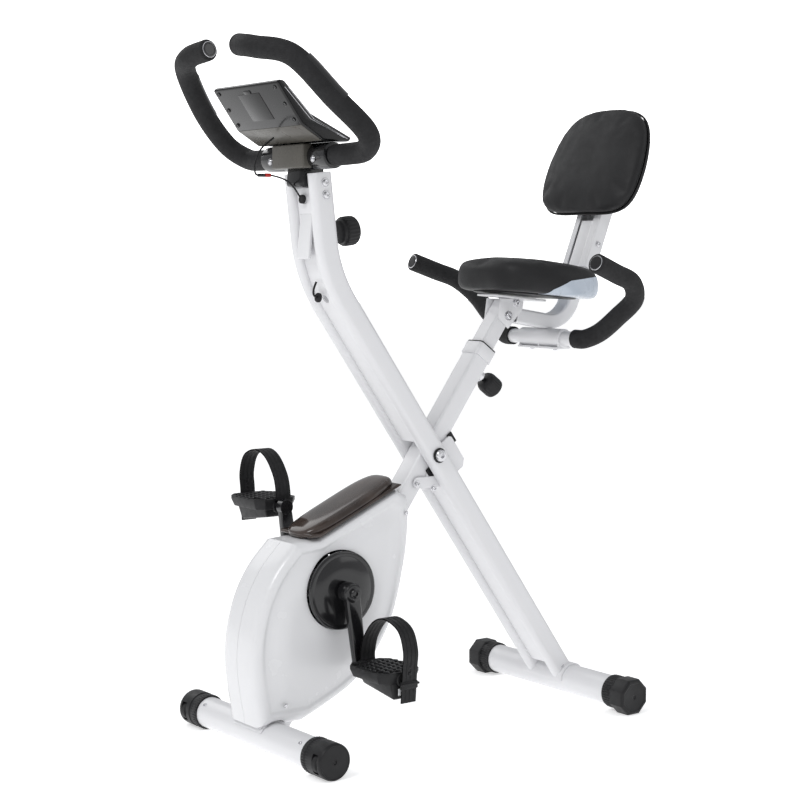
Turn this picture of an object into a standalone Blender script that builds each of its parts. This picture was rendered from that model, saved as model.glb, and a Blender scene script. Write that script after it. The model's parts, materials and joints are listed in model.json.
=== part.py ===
"""Folding X-frame exercise bike with a padded seat, side handles and backrest.

Frame: +X forward (towards the handlebar), +Y to the rider's left, +Z up, floor at z = 0.
Side-view places are given from the axis of the front stabilizer, which is FRONT_X ahead
of the origin.
"""
import math

import bmesh
import bpy
from mathutils import Matrix, Vector

# ---------------------------------------------------------------- driving dimensions (m)
FRONT_X = 0.3472
GAP = 0.0003
FIT = 0.0009

FOOT_TUBE_R = 0.0254
FRONT_FOOT_Z = 0.0285
FRONT_FOOT_HALF = 0.176
FRONT_CAP_R = 0.0288
FRONT_CAP_IN = 0.1540
FRONT_CAP_OUT = 0.2070
REAR_FOOT_X = -0.6240
REAR_FOOT_Z = 0.0315
REAR_FOOT_HALF = 0.168
REAR_CAP_FLATS = 0.0600
REAR_CAP_OUT = 0.2060
SADDLE_T = 0.0030
WHEEL_PIN = (0.0165, FRONT_FOOT_Z - 0.0020)

PIVOT = (-0.3257, 0.4516)
MAIN_ANGLE = math.radians(54.0)
MAIN_W = 0.0390
MAIN_D = 0.0350
MAIN_WALL = 0.0018
MAIN_TOP = 0.2146
MAIN_BOTTOM = -0.5210
COLLAR_L = 0.0230

LEG_ANGLE = math.radians(54.6)
LEAN_ANGLE = math.radians(83.4)
RAIL_W = 0.0220
RAIL_D = 0.0400
RAIL_IN = 0.0215
RAIL_WALL = 0.0020
RAIL_BEND = (-0.1126, 0.7516)
RAIL_BEND_R = 0.22
RAIL_TOP_Z = 0.9110
WEB_D = 0.0200

CRANK = (-0.1184, 0.2518)
CRANK_L = 0.1200
CRANK_TILT = math.radians(7.65)
CRANK_Y = 0.0760
CRANK_T = 0.0140
AXLE_R = 0.0085
DISC_R = 0.0630
PULLEY_R = 0.0800
WHEEL_AXIS = (-0.0440, 0.1480)
FLYWHEEL_R = 0.0680
FLY_PULLEY_R = 0.0140
FLY_SHAFT_R = 0.0065
BELT_GAP = 0.0010
PEDAL_LEN = 0.0800
PEDAL_W = 0.1000

HOUSING_HALF = 0.0520
HOUSING_WALL = 0.0025

POST_W = 0.0330
POST_D = 0.0290
LINER_WALL = 0.0006
LIP_W = 0.0036
POST_TOP = 0.3050
POST_BOTTOM = 0.0300
PIN_T = 0.1728

BAR_R = 0.0127
FOAM_R = 0.0168
BAR_AXIS = (-0.0842, 0.9348)
CLAMP_HALF = 0.0900

RECLINE = math.radians(22.0)
BACK_FOOT = (-0.7000, 0.8500)
TUBE_W = 0.0320
TUBE_D = 0.0260
RAIL_BACK_W = 0.0620
RAIL_BACK_D = 0.0300

# ---------------------------------------------------------------- collections and materials
MATERIALS = {
    "white_paint": ((0.86, 0.86, 0.87), 0.28, 0.0),
    "white_plastic": ((0.88, 0.88, 0.89), 0.22, 0.0),
    "black_plastic": ((0.03, 0.03, 0.032), 0.45, 0.0),
    "gloss_black": ((0.015, 0.015, 0.017), 0.15, 0.0),
    "dark_grey_plastic": ((0.10, 0.10, 0.10), 0.35, 0.0),
    "foam": ((0.045, 0.045, 0.048), 0.85, 0.0),
    "leather": ((0.030, 0.030, 0.031), 0.50, 0.0),
    "smoke_cover": ((0.16, 0.10, 0.07), 0.12, 0.0),
    "steel": ((0.62, 0.63, 0.65), 0.30, 1.0),
    "cast_iron": ((0.16, 0.16, 0.17), 0.55, 0.8),
    "rubber": ((0.02, 0.02, 0.02), 0.70, 0.0),
    "grey_plastic": ((0.55, 0.59, 0.66), 0.35, 0.0),
}


def clear_scene():
    for obj in list(bpy.data.objects):
        bpy.data.objects.remove(obj, do_unlink=True)


def make_collection(name):
    coll = bpy.data.collections.new(name)
    bpy.context.scene.collection.children.link(coll)
    return coll


clear_scene()
BIKE = make_collection("exercise_bike")
CUTTERS = make_collection("cutters")


def material(kind, node):
    color, rough, metal = MATERIALS[kind]
    mat = bpy.data.materials.new(node + "_" + kind)
    mat.use_nodes = True
    shader = mat.node_tree.nodes["Principled BSDF"]
    shader.inputs["Base Color"].default_value = (*color, 1.0)
    shader.inputs["Roughness"].default_value = rough
    shader.inputs["Metallic"].default_value = metal
    mat.diffuse_color = (*color, 1.0)
    return mat


def finish(obj, kind, name=None):
    """Name a solid, give it its own material and put it with the bike's parts."""
    if name:
        obj.name = name
    for coll in list(obj.users_collection):
        coll.objects.unlink(obj)
    BIKE.objects.link(obj)
    obj.data.materials.clear()
    obj.data.materials.append(material(kind, obj.name))
    obj.data.shade_smooth()
    obj.data.set_sharp_from_angle(angle=math.radians(35))
    return obj


def as_cutter(obj):
    for coll in list(obj.users_collection):
        coll.objects.unlink(obj)
    CUTTERS.objects.link(obj)
    obj.hide_render = True
    obj.display_type = "WIRE"
    return obj


# ---------------------------------------------------------------- places
def at(x, y, z):
    return Vector((FRONT_X + x, y, z))


def main_axis(t, n=0.0, y=0.0):
    """Point t up the main tube from the fold pivot, and n in front of its axis."""
    c, s = math.cos(MAIN_ANGLE), math.sin(MAIN_ANGLE)
    return at(PIVOT[0] - c * t + s * n, y, PIVOT[1] + s * t + c * n)


def leg_axis(t, n=0.0, y=0.0):
    """Point t up the rear frame from the fold pivot, and n behind its axis."""
    c, s = math.cos(LEG_ANGLE), math.sin(LEG_ANGLE)
    return at(PIVOT[0] + c * t - s * n, y, PIVOT[1] + s * t + c * n)


def back_axis(t, n=0.0, y=0.0):
    """Point t up the backrest's plane from its foot, and n in front of it."""
    c, s = math.cos(RECLINE), math.sin(RECLINE)
    return at(BACK_FOOT[0] - s * t + c * n, y, BACK_FOOT[1] + c * t + s * n)


# ---------------------------------------------------------------- modelling helpers
def new_object(name, mesh):
    obj = bpy.data.objects.new(name, mesh)
    BIKE.objects.link(obj)
    return obj


def evaluated_mesh(obj):
    depsgraph = bpy.context.evaluated_depsgraph_get()
    depsgraph.update()
    return bpy.data.meshes.new_from_object(obj.evaluated_get(depsgraph))


def clean(mesh, distance=0.00001):
    bm = bmesh.new()
    bm.from_mesh(mesh)
    bmesh.ops.remove_doubles(bm, verts=bm.verts, dist=distance)
    bmesh.ops.recalc_face_normals(bm, faces=bm.faces)
    bm.to_mesh(mesh)
    bm.free()


def curve_to_mesh(obj):
    """A mesh object in the curve's place, with its caps welded."""
    mesh = evaluated_mesh(obj)
    clean(mesh)
    name, place = obj.name, obj.matrix_world.copy()
    bpy.data.objects.remove(obj, do_unlink=True)
    solid = new_object(name, mesh)
    solid.matrix_world = place
    return solid


def poly_curve(name, points, dimensions="3D", cyclic=False):
    curve = bpy.data.curves.new(name, "CURVE")
    curve.dimensions = dimensions
    spline = curve.splines.new("POLY")
    spline.points.add(len(points) - 1)
    for knot, place in zip(spline.points, points):
        knot.co = (*place, 1.0) if len(place) == 3 else (*place, 0.0, 1.0)
    spline.use_cyclic_u = cyclic
    obj = bpy.data.objects.new(name, curve)
    BIKE.objects.link(obj)
    return obj


def plate(name, outline, y_low, y_high):
    """A flat outline of side-view points, as a solid between two heights along Y."""
    obj = poly_curve(name, [(FRONT_X + x, z) for x, z in outline], "2D", True)
    obj.data.fill_mode = "BOTH"
    obj.data.extrude = (y_high - y_low) / 2
    obj.rotation_euler = (math.pi / 2, 0.0, 0.0)
    obj.location = (0.0, (y_low + y_high) / 2, 0.0)
    bpy.context.view_layer.update()
    solid = curve_to_mesh(obj)
    apply_transform(solid)
    return solid


def apply_transform(obj):
    obj.data.transform(obj.matrix_world)
    obj.matrix_world = Matrix.Identity(4)


def rounded_rect(width, depth, radius, steps=3):
    """Corner-rounded section, counter-clockwise."""
    points = []
    for quarter in range(4):
        cx = (width / 2 - radius) * (1 if quarter in (0, 3) else -1)
        cy = (depth / 2 - radius) * (1 if quarter in (0, 1) else -1)
        for i in range(steps + 1):
            a = math.pi / 2 * (quarter + i / steps)
            points.append((cx + radius * math.cos(a), cy + radius * math.sin(a)))
    return points


def circle(radius, sides, start=0.0):
    return [(radius * math.cos(start + 2 * math.pi * i / sides),
             radius * math.sin(start + 2 * math.pi * i / sides)) for i in range(sides)]


def sweep(name, path, section, wall=None):
    """Sweep a section along a path; section x runs sideways (Y) and y in the side view."""
    guide = poly_curve(name + "_section", section, "2D", True)
    obj = poly_curve(name, [tuple(p) for p in path])
    obj.data.twist_mode = "Z_UP"
    obj.data.bevel_mode = "OBJECT"
    obj.data.bevel_object = guide
    obj.data.use_fill_caps = wall is None
    solid = curve_to_mesh(obj)
    bpy.data.objects.remove(guide, do_unlink=True)
    if wall:
        hollow(solid, wall)
    return solid


def hollow(obj, wall):
    shell = obj.modifiers.new("wall", "SOLIDIFY")
    shell.thickness = wall
    shell.offset = -1.0
    shell.use_even_offset = True
    return obj


def lathe(name, profile, place, axis, sides=24, closed=True):
    """Turn a profile of (radius, height) points about an axis through a place."""
    mesh = bpy.data.meshes.new(name)
    bm = bmesh.new()
    verts = [bm.verts.new((r, 0.0, h)) for r, h in profile]
    for a, b in zip(verts, verts[1:]):
        bm.edges.new((a, b))
    if closed:
        bm.edges.new((verts[-1], verts[0]))
    bm.to_mesh(mesh)
    bm.free()
    obj = new_object(name, mesh)
    screw = obj.modifiers.new("turn", "SCREW")
    screw.steps = sides
    screw.render_steps = sides
    screw.use_merge_vertices = True
    screw.merge_threshold = 0.00001
    turned = evaluated_mesh(obj)
    clean(turned)
    obj.modifiers.clear()
    obj.data = turned
    turn = Vector((0, 0, 1)).rotation_difference(Vector(axis)).to_matrix().to_4x4()
    obj.matrix_world = Matrix.Translation(place) @ turn
    apply_transform(obj)
    return obj


def rod(name, place, axis, radius, low, high, sides=16, chamfer=0.0):
    """A solid bar along an axis, from low to high, with chamfered ends."""
    c = chamfer
    profile = [(0.0, high), (radius - c, high)]
    if c:
        profile.append((radius, high - c))
        profile.append((radius, low + c))
    else:
        profile.append((radius, low))
    if c:
        profile.append((radius - c, low))
    profile.append((0.0, low))
    if not c:
        profile = [(0.0, high), (radius, high), (radius, low), (0.0, low)]
    return lathe(name, profile, place, axis, sides, closed=False)


def ring(name, place, axis, outer, inner, low, high, sides=24):
    profile = [(outer, high), (outer, low), (inner, low), (inner, high)]
    return lathe(name, profile, place, axis, sides)


def block(name, size, place, turn=0.0, bevel=0.0, segments=2):
    """A box; turn leans it about Y, in radians."""
    mesh = bpy.data.meshes.new(name)
    bm = bmesh.new()
    bmesh.ops.create_cube(bm, size=1.0)
    bmesh.ops.scale(bm, vec=size, verts=bm.verts)
    if bevel:
        bmesh.ops.bevel(bm, geom=bm.edges, offset=bevel, segments=segments, affect="EDGES", profile=0.5)
    bm.to_mesh(mesh)
    bm.free()
    obj = new_object(name, mesh)
    obj.matrix_world = Matrix.Translation(place) @ Matrix.Rotation(turn, 4, "Y")
    apply_transform(obj)
    return obj


def cut(obj, *cutters):
    """Take cutters out of a solid and keep the result as its mesh."""
    for cutter in cutters:
        tool = obj.modifiers.new("cut", "BOOLEAN")
        tool.operation = "DIFFERENCE"
        tool.solver = "EXACT"
        tool.object = as_cutter(cutter)
    return obj


def unite(obj, *others):
    """Weld other solids onto one, as one body."""
    for other in others:
        tool = obj.modifiers.new("weld", "BOOLEAN")
        tool.operation = "UNION"
        tool.solver = "EXACT"
        tool.object = as_cutter(other)
    return obj


def settle(obj):
    """Keep what the modifiers make as the object's own mesh."""
    mesh = evaluated_mesh(obj)
    obj.modifiers.clear()
    obj.data = mesh
    return obj


def mirrored(obj, name, kind):
    """A copy on the other side of the bike."""
    mesh = settle(obj).data.copy()
    mesh.transform(Matrix.Diagonal((1.0, -1.0, 1.0, 1.0)))
    mesh.flip_normals()
    return finish(new_object(name, mesh), kind)


def smooth_path(points, per_span=6):
    """Points read from a smooth curve through the given ones."""
    knots = [Vector(p) for p in points]
    knots = [knots[0] * 2 - knots[1]] + knots + [knots[-1] * 2 - knots[-2]]
    path = []
    for i in range(1, len(knots) - 2):
        a, b, c, d = knots[i - 1:i + 3]
        for k in range(per_span):
            t = k / per_span
            path.append(0.5 * (b * 2 + (c - a) * t + (a * 2 - b * 5 + c * 4 - d) * t * t
                               + (b * 3 - a - c * 3 + d) * t ** 3))
    path.append(knots[-2])
    return path


def filleted(points, radius, steps=5):
    """A path of straight runs whose inner corners are arcs."""
    pts = [Vector(p) for p in points]
    path = [pts[0]]
    for before, corner, after in zip(pts, pts[1:], pts[2:]):
        u = (before - corner).normalized()
        v = (after - corner).normalized()
        half = u.angle(v) / 2
        reach = radius / math.tan(half)
        centre = corner + (u + v).normalized() * (radius / math.sin(half))
        start = corner + u * reach - centre
        end = corner + v * reach - centre
        sweep_angle = start.angle(end)
        for i in range(steps + 1):
            f = i / steps
            mix = start * math.sin((1 - f) * sweep_angle) + end * math.sin(f * sweep_angle)
            path.append(centre + mix / math.sin(sweep_angle))
    path.append(pts[-1])
    return path


def pipe(name, path, radius, wall=None, resolution=3):
    """A round tube along a path, solid with caps or hollow with open ends."""
    obj = poly_curve(name, [tuple(p) for p in path])
    obj.data.bevel_depth = radius
    obj.data.bevel_resolution = resolution
    obj.data.use_fill_caps = wall is None
    solid = curve_to_mesh(obj)
    if wall:
        hollow(solid, wall)
    return solid


# ---------------------------------------------------------------- front foot
def front_foot():
    axis = (0, 1, 0)
    centre = at(0, 0, FRONT_FOOT_Z)
    finish(ring("front_stabilizer", centre, axis, FOOT_TUBE_R, FOOT_TUBE_R - 0.002,
                -FRONT_FOOT_HALF, FRONT_FOOT_HALF, 32), "white_paint")
    for side, name in ((1, "left"), (-1, "right")):
        front_cap(side, name)
        tyre = [(0.0130, 0.1978), (0.0142, 0.1958), (0.0142, 0.1882), (0.0130, 0.1862),
                (0.0030, 0.1862), (0.0030, 0.1978)]
        finish(lathe("transport_wheel_" + name, tyre, at(WHEEL_PIN[0], 0, WHEEL_PIN[1]),
                     (0, side, 0), 20), "rubber")


def front_cap(side, name):
    """End cap: a socket over the tube, a solid nose, and a pocket with the wheel's pin."""
    r, inner = FRONT_CAP_R, FOOT_TUBE_R + GAP
    floor = FRONT_FOOT_HALF + GAP
    profile = [(0.0, FRONT_CAP_OUT), (r - 0.003, FRONT_CAP_OUT), (r, FRONT_CAP_OUT - 0.003),
               (r, FRONT_CAP_IN + 0.001), (r - 0.001, FRONT_CAP_IN), (inner, FRONT_CAP_IN),
               (inner, floor), (0.0, floor)]
    cap = lathe("front_cap_" + name, profile, at(0, 0, FRONT_FOOT_Z), (0, side, 0), 28, closed=False)
    flat = block("cap_flat", (0.08, 0.08, 0.02), at(0, side * 0.18, -0.01))
    pocket = block("cap_pocket", (0.034, 0.0130, 0.0310), at(0.0185, side * 0.1920, WHEEL_PIN[1]))
    cut(cap, flat, pocket)
    unite(cap, rod("cap_pin", at(WHEEL_PIN[0], 0, WHEEL_PIN[1]), (0, side, 0), 0.0025, 0.1815, 0.2015, 10))
    finish(settle(cap), "black_plastic", "front_cap_" + name)


# ---------------------------------------------------------------- main frame
def main_frame():
    section = rounded_rect(MAIN_W, MAIN_D, 0.005, 2)
    tube = sweep("main_tube", [main_axis(MAIN_BOTTOM), main_axis(MAIN_TOP)], section, MAIN_WALL)
    cut(tube, rod("foot_saddle_cut", at(0, 0, FRONT_FOOT_Z), (0, 1, 0),
                  FOOT_TUBE_R + GAP, -0.1, 0.1, 32),
        rod("pivot_cut", main_axis(0), (0, 1, 0), 0.0080, -0.1, 0.1, 20),
        rod("pin_cut", main_axis(PIN_T, -0.02), tilt(1), 0.0060, -0.02, 0.018, 16))
    collar = sweep("collar", [main_axis(MAIN_TOP - COLLAR_L), main_axis(MAIN_TOP - 0.0004)],
                   rounded_rect(MAIN_W + 0.0048, MAIN_D + 0.0048, 0.007, 2), 0.0030)
    saddle = foot_saddle("front_saddle", at(0, 0, FRONT_FOOT_Z), 0.040)
    bush = ring("pivot_bush", main_axis(0), (0, 1, 0), 0.0083, 0.0063, 0.0004 - MAIN_W / 2, MAIN_W / 2 - 0.0004, 20)
    boss = ring("pin_boss", main_axis(PIN_T), tilt(-1), 0.0090, 0.0058, MAIN_D / 2 - 0.001, 0.0300, 16)
    unite(tube, collar, saddle, bush, boss)
    finish(settle(tube), "white_paint", "main_tube")
    inside_w = MAIN_W - 2 * MAIN_WALL - 2 * GAP
    inside_d = MAIN_D - 2 * MAIN_WALL - 2 * GAP
    liner = sweep("post_bushing", [main_axis(MAIN_TOP - 0.045), main_axis(MAIN_TOP + 0.0015)],
                  rounded_rect(inside_w, inside_d, 0.003, 2), LINER_WALL)
    lip = sweep("bushing_lip", [main_axis(MAIN_TOP + GAP), main_axis(MAIN_TOP + 0.0020)],
                rounded_rect(inside_w + 2 * LIP_W, inside_d + 2 * LIP_W, 0.0055, 2), LIP_W + LINER_WALL / 2)
    unite(liner, lip)
    cut(liner, rod("liner_pin_cut", main_axis(PIN_T, -0.02), tilt(1), 0.0060, -0.02, 0.018, 16))
    finish(settle(liner), "black_plastic", "post_bushing")


def tilt(sign):
    """Unit vector square to the main tube in the side view: +1 points forward and up."""
    return Vector((math.sin(MAIN_ANGLE), 0, math.cos(MAIN_ANGLE))) * sign


def foot_saddle(name, centre, half, low=-65.0, high=65.0, inner=FOOT_TUBE_R + GAP):
    """Curved plate that hugs the top of a foot tube."""
    outer = FOOT_TUBE_R + GAP + SADDLE_T
    angles = [math.radians(low + (high - low) * i / 10) for i in range(11)]
    ring_pts = [(outer * math.sin(a), outer * math.cos(a)) for a in angles]
    ring_pts += [(inner * math.sin(a), inner * math.cos(a)) for a in reversed(angles)]
    outline = [(centre.x - FRONT_X + x, centre.z + z) for x, z in ring_pts]
    return plate(name, outline, -half, half)


# ---------------------------------------------------------------- drive
def drive():
    y = (0, 1, 0)
    centre = at(CRANK[0], 0, CRANK[1])
    shell = ring("bottom_bracket", centre, y, 0.0190, 0.0162, -0.0225, 0.0225, 24)
    unite(shell, bracket_plate("bb_plate", CRANK, 0.0175, 0.0200, 0.0225),
          bracket_plate("bb_plate_far", CRANK, 0.0175, -0.0225, -0.0200))
    finish(settle(shell), "white_paint", "bottom_bracket")
    finish(ring("crank_bearing", centre, y, 0.0159, AXLE_R + 0.0004, -0.0220, 0.0220, 20), "steel")
    finish(rod("crank_axle", centre, y, AXLE_R, -CRANK_Y - 0.0120, CRANK_Y + 0.0120, 20, 0.001), "steel")
    pulley = [(PULLEY_R, -0.0290), (PULLEY_R, -0.0370), (0.0100, -0.0370), (AXLE_R + GAP, -0.0370),
              (AXLE_R + GAP, -0.0290)]
    wheel = lathe("belt_pulley", pulley, centre, y, 36)
    spokes = [rod("pulley_hole", centre + Vector((0.048 * math.cos(a), 0, 0.048 * math.sin(a))), y,
                  0.0150, -0.05, -0.02, 12) for a in (math.tau * i / 5 for i in range(5))]
    finish(settle(cut(wheel, *spokes)), "black_plastic")
    flywheel(y)
    belt()


def plate_reach(place):
    """How far up the main tube a point of the side view is, from the fold pivot."""
    return -(place[0] - PIVOT[0]) * math.cos(MAIN_ANGLE) + (place[1] - PIVOT[1]) * math.sin(MAIN_ANGLE)


def bracket_plate(name, place, hole_r, y_low, y_high):
    """Side plate from the main tube out to a shaft in front of it."""
    t = plate_reach(place)
    c, s = math.cos(MAIN_ANGLE), math.sin(MAIN_ANGLE)

    def side(u, v):
        return (PIVOT[0] - c * u + s * v, PIVOT[1] + s * u + c * v)

    reach = (place[0] - PIVOT[0]) * s + (place[1] - PIVOT[1]) * c
    outline = [side(t - 0.030, -0.010), side(t - 0.030, 0.012)]
    for i in range(9):
        a = math.radians(-100 + 200 * i / 8)
        outline.append(side(t + 0.024 * math.sin(a), reach + 0.024 * math.cos(a)))
    outline += [side(t + 0.030, 0.012), side(t + 0.030, -0.010)]
    solid = plate(name, outline, y_low, y_high)
    hole = rod(name + "_hole", at(place[0], 0, place[1]), (0, 1, 0), hole_r, -0.1, 0.1, 24)
    return cut(solid, hole)


def flywheel(y):
    centre = at(WHEEL_AXIS[0], 0, WHEEL_AXIS[1])
    turned = [(0.0, 0.0400), (0.0120, 0.0400), (0.0120, 0.0380), (0.0500, 0.0380), (0.0500, 0.0420),
              (FLYWHEEL_R, 0.0420), (FLYWHEEL_R, 0.0280), (0.0500, 0.0280), (0.0500, 0.0320),
              (0.0120, 0.0320), (0.0120, 0.0265), (FLY_SHAFT_R, 0.0265), (FLY_SHAFT_R, -0.0290),
              (FLY_PULLEY_R, -0.0290), (FLY_PULLEY_R, -0.0370), (0.0, -0.0370)]
    finish(lathe("flywheel", turned, centre, y, 28, closed=False), "cast_iron")
    bracket = bracket_plate("flywheel_bracket", WHEEL_AXIS, FLY_SHAFT_R + 0.0002, 0.0200, 0.0225)
    far = bracket_plate("fly_plate_far", WHEEL_AXIS, FLY_SHAFT_R + 0.0002, -0.0225, -0.0200)
    tie = rod("fly_tie", main_axis(plate_reach(WHEEL_AXIS), 0.0260), y, 0.0040, -0.0215, 0.0215, 12)
    unite(bracket, far, tie)
    finish(settle(bracket), "white_paint", "flywheel_bracket")
    arc = [math.radians(170 + 60 * i / 8) for i in range(9)]
    r_in, r_out = FLYWHEEL_R + 0.0035, FLYWHEEL_R + 0.0085
    outline = [(WHEEL_AXIS[0] + r_out * math.cos(a), WHEEL_AXIS[1] + r_out * math.sin(a)) for a in arc]
    outline += [(WHEEL_AXIS[0] + r_in * math.cos(a), WHEEL_AXIS[1] + r_in * math.sin(a))
                for a in reversed(arc)]
    finish(plate("magnet_bracket", outline, 0.0270, 0.0430), "steel")


def belt():
    """Flat belt round both pulleys, as an outline with a hollow middle."""
    big, small = Vector(CRANK), Vector(WHEEL_AXIS)
    finish(belt_band("drive_belt", big, small, 0.0022), "rubber")


def belt_band(name, big, small, thick):
    outer = belt_outline(big, small, PULLEY_R + BELT_GAP + thick, FLY_PULLEY_R + BELT_GAP + thick)
    inner = belt_outline(big, small, PULLEY_R + BELT_GAP, FLY_PULLEY_R + BELT_GAP)
    band = plate(name, outer, -0.0365, -0.0295)
    return settle(cut(band, plate(name + "_inside", inner, -0.06, -0.01)))


def belt_outline(big, small, r_big, r_small):
    between = small - big
    lean = math.acos((r_big - r_small) / between.length)
    base = math.atan2(between.y, between.x)
    points = []
    for i in range(25):
        a = base + lean + (math.tau - 2 * lean) * i / 24
        points.append((big.x + r_big * math.cos(a), big.y + r_big * math.sin(a)))
    for i in range(13):
        a = base - lean + 2 * lean * i / 12
        points.append((small.x + r_small * math.cos(a), small.y + r_small * math.sin(a)))
    return points


# ---------------------------------------------------------------- cranks and pedals
def cranks():
    for side, name in ((1, "left"), (-1, "right")):
        down = Vector((-math.sin(CRANK_TILT), -math.cos(CRANK_TILT))) * side
        end = Vector(CRANK) + down * CRANK_L
        finish(crank_arm("crank_" + name, side, end), "gloss_black")
        axis = (0, side, 0)
        place = at(end.x, 0, end.y)
        shaft = [(0.0, 0.1880), (0.0040, 0.1880), (0.0040, 0.1000), (0.0080, 0.1000),
                 (0.0080, CRANK_Y + CRANK_T + GAP), (0.0048, CRANK_Y + CRANK_T + GAP),
                 (0.0048, CRANK_Y), (0.0, CRANK_Y)]
        finish(lathe("pedal_spindle_" + name, shaft, place, axis, 14, False), "steel")
        pedal(side, name, end)
        centre = at(CRANK[0], 0, CRANK[1])
        face = [(AXLE_R + GAP, 0.0610), (0.0540, 0.0634), (DISC_R, 0.0600), (DISC_R, 0.0545),
                (AXLE_R + GAP, 0.0545)]
        finish(lathe("crank_disc_" + name, face, centre, axis, 36), "gloss_black")


def crank_arm(name, side, end):
    """Tapered arm with round bosses at both ends."""
    start = Vector(CRANK)
    along = (end - start).normalized()
    across = Vector((-along.y, along.x))
    outline = []
    base = math.atan2(across.y, across.x)
    for i in range(9):
        a = base + math.pi * i / 8
        outline.append(tuple(start + Vector((math.cos(a), math.sin(a))) * 0.0150))
    for i in range(9):
        a = base + math.pi + math.pi * i / 8
        outline.append(tuple(end + Vector((math.cos(a), math.sin(a))) * 0.0115))
    low, high = sorted((side * CRANK_Y, side * (CRANK_Y + CRANK_T)))
    arm = plate(name, outline, low, high)
    boss = rod("boss", at(start.x, 0, start.y), (0, side, 0), 0.0160, 0.0670, CRANK_Y + CRANK_T + 0.0020, 20, 0.001)
    axle = rod("axle_cut", at(start.x, 0, start.y), (0, side, 0), AXLE_R + GAP, 0.0500, CRANK_Y + 0.0123, 20)
    spindle = rod("spindle_cut", at(end.x, 0, end.y), (0, side, 0), 0.0051, 0.0500, 0.1500, 14)
    unite(arm, boss)
    return settle(cut(arm, axle, spindle))


def pedal(side, name, end):
    """Platform round the spindle, a counterweight below, and a strap over the foot."""
    mid = 0.1480
    centre = at(end.x, side * mid, end.y + 0.004)
    body = block("pedal_" + name, (PEDAL_LEN, PEDAL_W, 0.0220), centre, 0.0, 0.006, 2)
    keel = block("keel", (0.046, PEDAL_W - 0.012, 0.030), centre + Vector((0.0, side * 0.004, -0.022)), 0.0, 0.006, 2)
    bore = rod("pedal_bore", at(end.x, 0, end.y), (0, side, 0), 0.0085, 0.0900, 0.1902, 14)
    unite(body, keel)
    finish(settle(cut(body, bore)), "black_plastic", "pedal_" + name)
    inner_y, outer_y = mid - PEDAL_W / 2 - 0.0016, mid + PEDAL_W / 2 + 0.0016
    route = [(inner_y, 0.0095), (inner_y, 0.0240), (inner_y + 0.010, 0.050), (inner_y + 0.035, 0.080),
             (inner_y + 0.060, 0.088), (outer_y - 0.010, 0.068), (outer_y, 0.036), (outer_y, -0.028)]
    path = smooth_path([at(end.x - 0.006, side * y, end.y + z) for y, z in route], 4)
    strap = sweep("strap_" + name, path, [(0.0140, 0.0011), (-0.0140, 0.0011), (-0.0140, -0.0011), (0.0140, -0.0011)])
    finish(strap, "rubber")


# ---------------------------------------------------------------- housing
HOUSING = [(-0.0410, 0.3310), (-0.0050, 0.2940), (0.0210, 0.2515), (0.0360, 0.2060), (0.0420, 0.1670),
           (0.0420, 0.1350), (0.0370, 0.0945), (0.0320, 0.0680), (0.0290, 0.0480), (-0.0500, 0.0480),
           (-0.1040, 0.0700), (-0.1530, 0.0960), (-0.1950, 0.1370), (-0.2275, 0.1880), (-0.2420, 0.2275),
           (-0.2520, 0.2680), (-0.2600, 0.3085), (-0.2640, 0.3580), (-0.2620, 0.3900), (-0.2400, 0.4010),
           (-0.0860, 0.3340)]


def housing():
    left = housing_half()
    cutters = [rod("axle_window", at(CRANK[0], 0, CRANK[1]), (0, 1, 0), DISC_R + 0.001, -0.1, 0.1, 36),
               rod("foot_window", at(0, 0, FRONT_FOOT_Z), (0, 1, 0), FOOT_TUBE_R + 0.0045, -0.1, 0.1, 32),
               sweep("tube_window", [main_axis(-0.20), main_axis(0.05)],
                     rounded_rect(MAIN_W + 0.0012, MAIN_D + 0.0012, 0.005, 2)),
               sweep("tube_foot_window", [main_axis(-0.56), main_axis(-0.46)],
                     rounded_rect(MAIN_W + 0.0012, MAIN_D + 0.0012, 0.005, 2))]
    cut(left, *cutters)
    settle(left)
    finish(left, "white_plastic", "housing_left")
    mirrored(left, "housing_right", "white_plastic")
    lid = [(-0.0440, 0.3375), (-0.0850, 0.3375), (-0.2390, 0.4045), (-0.2660, 0.3960),
           (-0.2700, 0.4010), (-0.2420, 0.4160), (-0.0870, 0.3480), (-0.0500, 0.3475)]
    cover = plate("top_cover", lid, -0.0470, 0.0470)
    notch = sweep("cover_notch", [main_axis(-0.20), main_axis(0.05)],
                  rounded_rect(MAIN_W + 0.0012, MAIN_D + 0.0012, 0.005, 2))
    finish(settle(cut(cover, notch)), "smoke_cover")


def housing_half():
    """Outline face with a rolled rim, open at the middle plane, with a wall."""
    shell = plate("housing_half", HOUSING, 0.0003, HOUSING_HALF)
    bm = bmesh.new()
    bm.from_mesh(shell.data)
    inside = [f for f in bm.faces if f.normal.y < -0.9]
    bmesh.ops.delete(bm, geom=inside, context="FACES")
    rim = [e for e in bm.edges if all(v.co.y > HOUSING_HALF - 0.0001 for v in e.verts)
           and any(abs(f.normal.y) < 0.5 for f in e.link_faces)]
    bmesh.ops.bevel(bm, geom=rim, offset=0.010, segments=2, affect="EDGES", profile=0.5)
    bm.to_mesh(shell.data)
    bm.free()
    return hollow(shell, HOUSING_WALL)


# ---------------------------------------------------------------- rear frame
def frame_path(start, stop_z):
    """Centre line of the rear frame from a point along the leg up to a height."""
    corner = at(RAIL_BEND[0], 0, RAIL_BEND[1])
    c, s = math.cos(LEAN_ANGLE), math.sin(LEAN_ANGLE)
    rise = (stop_z - RAIL_BEND[1]) / s
    top = corner + Vector((c * rise, 0, s * rise))
    return filleted([leg_axis(start), corner, top], RAIL_BEND_R, 6)


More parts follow.
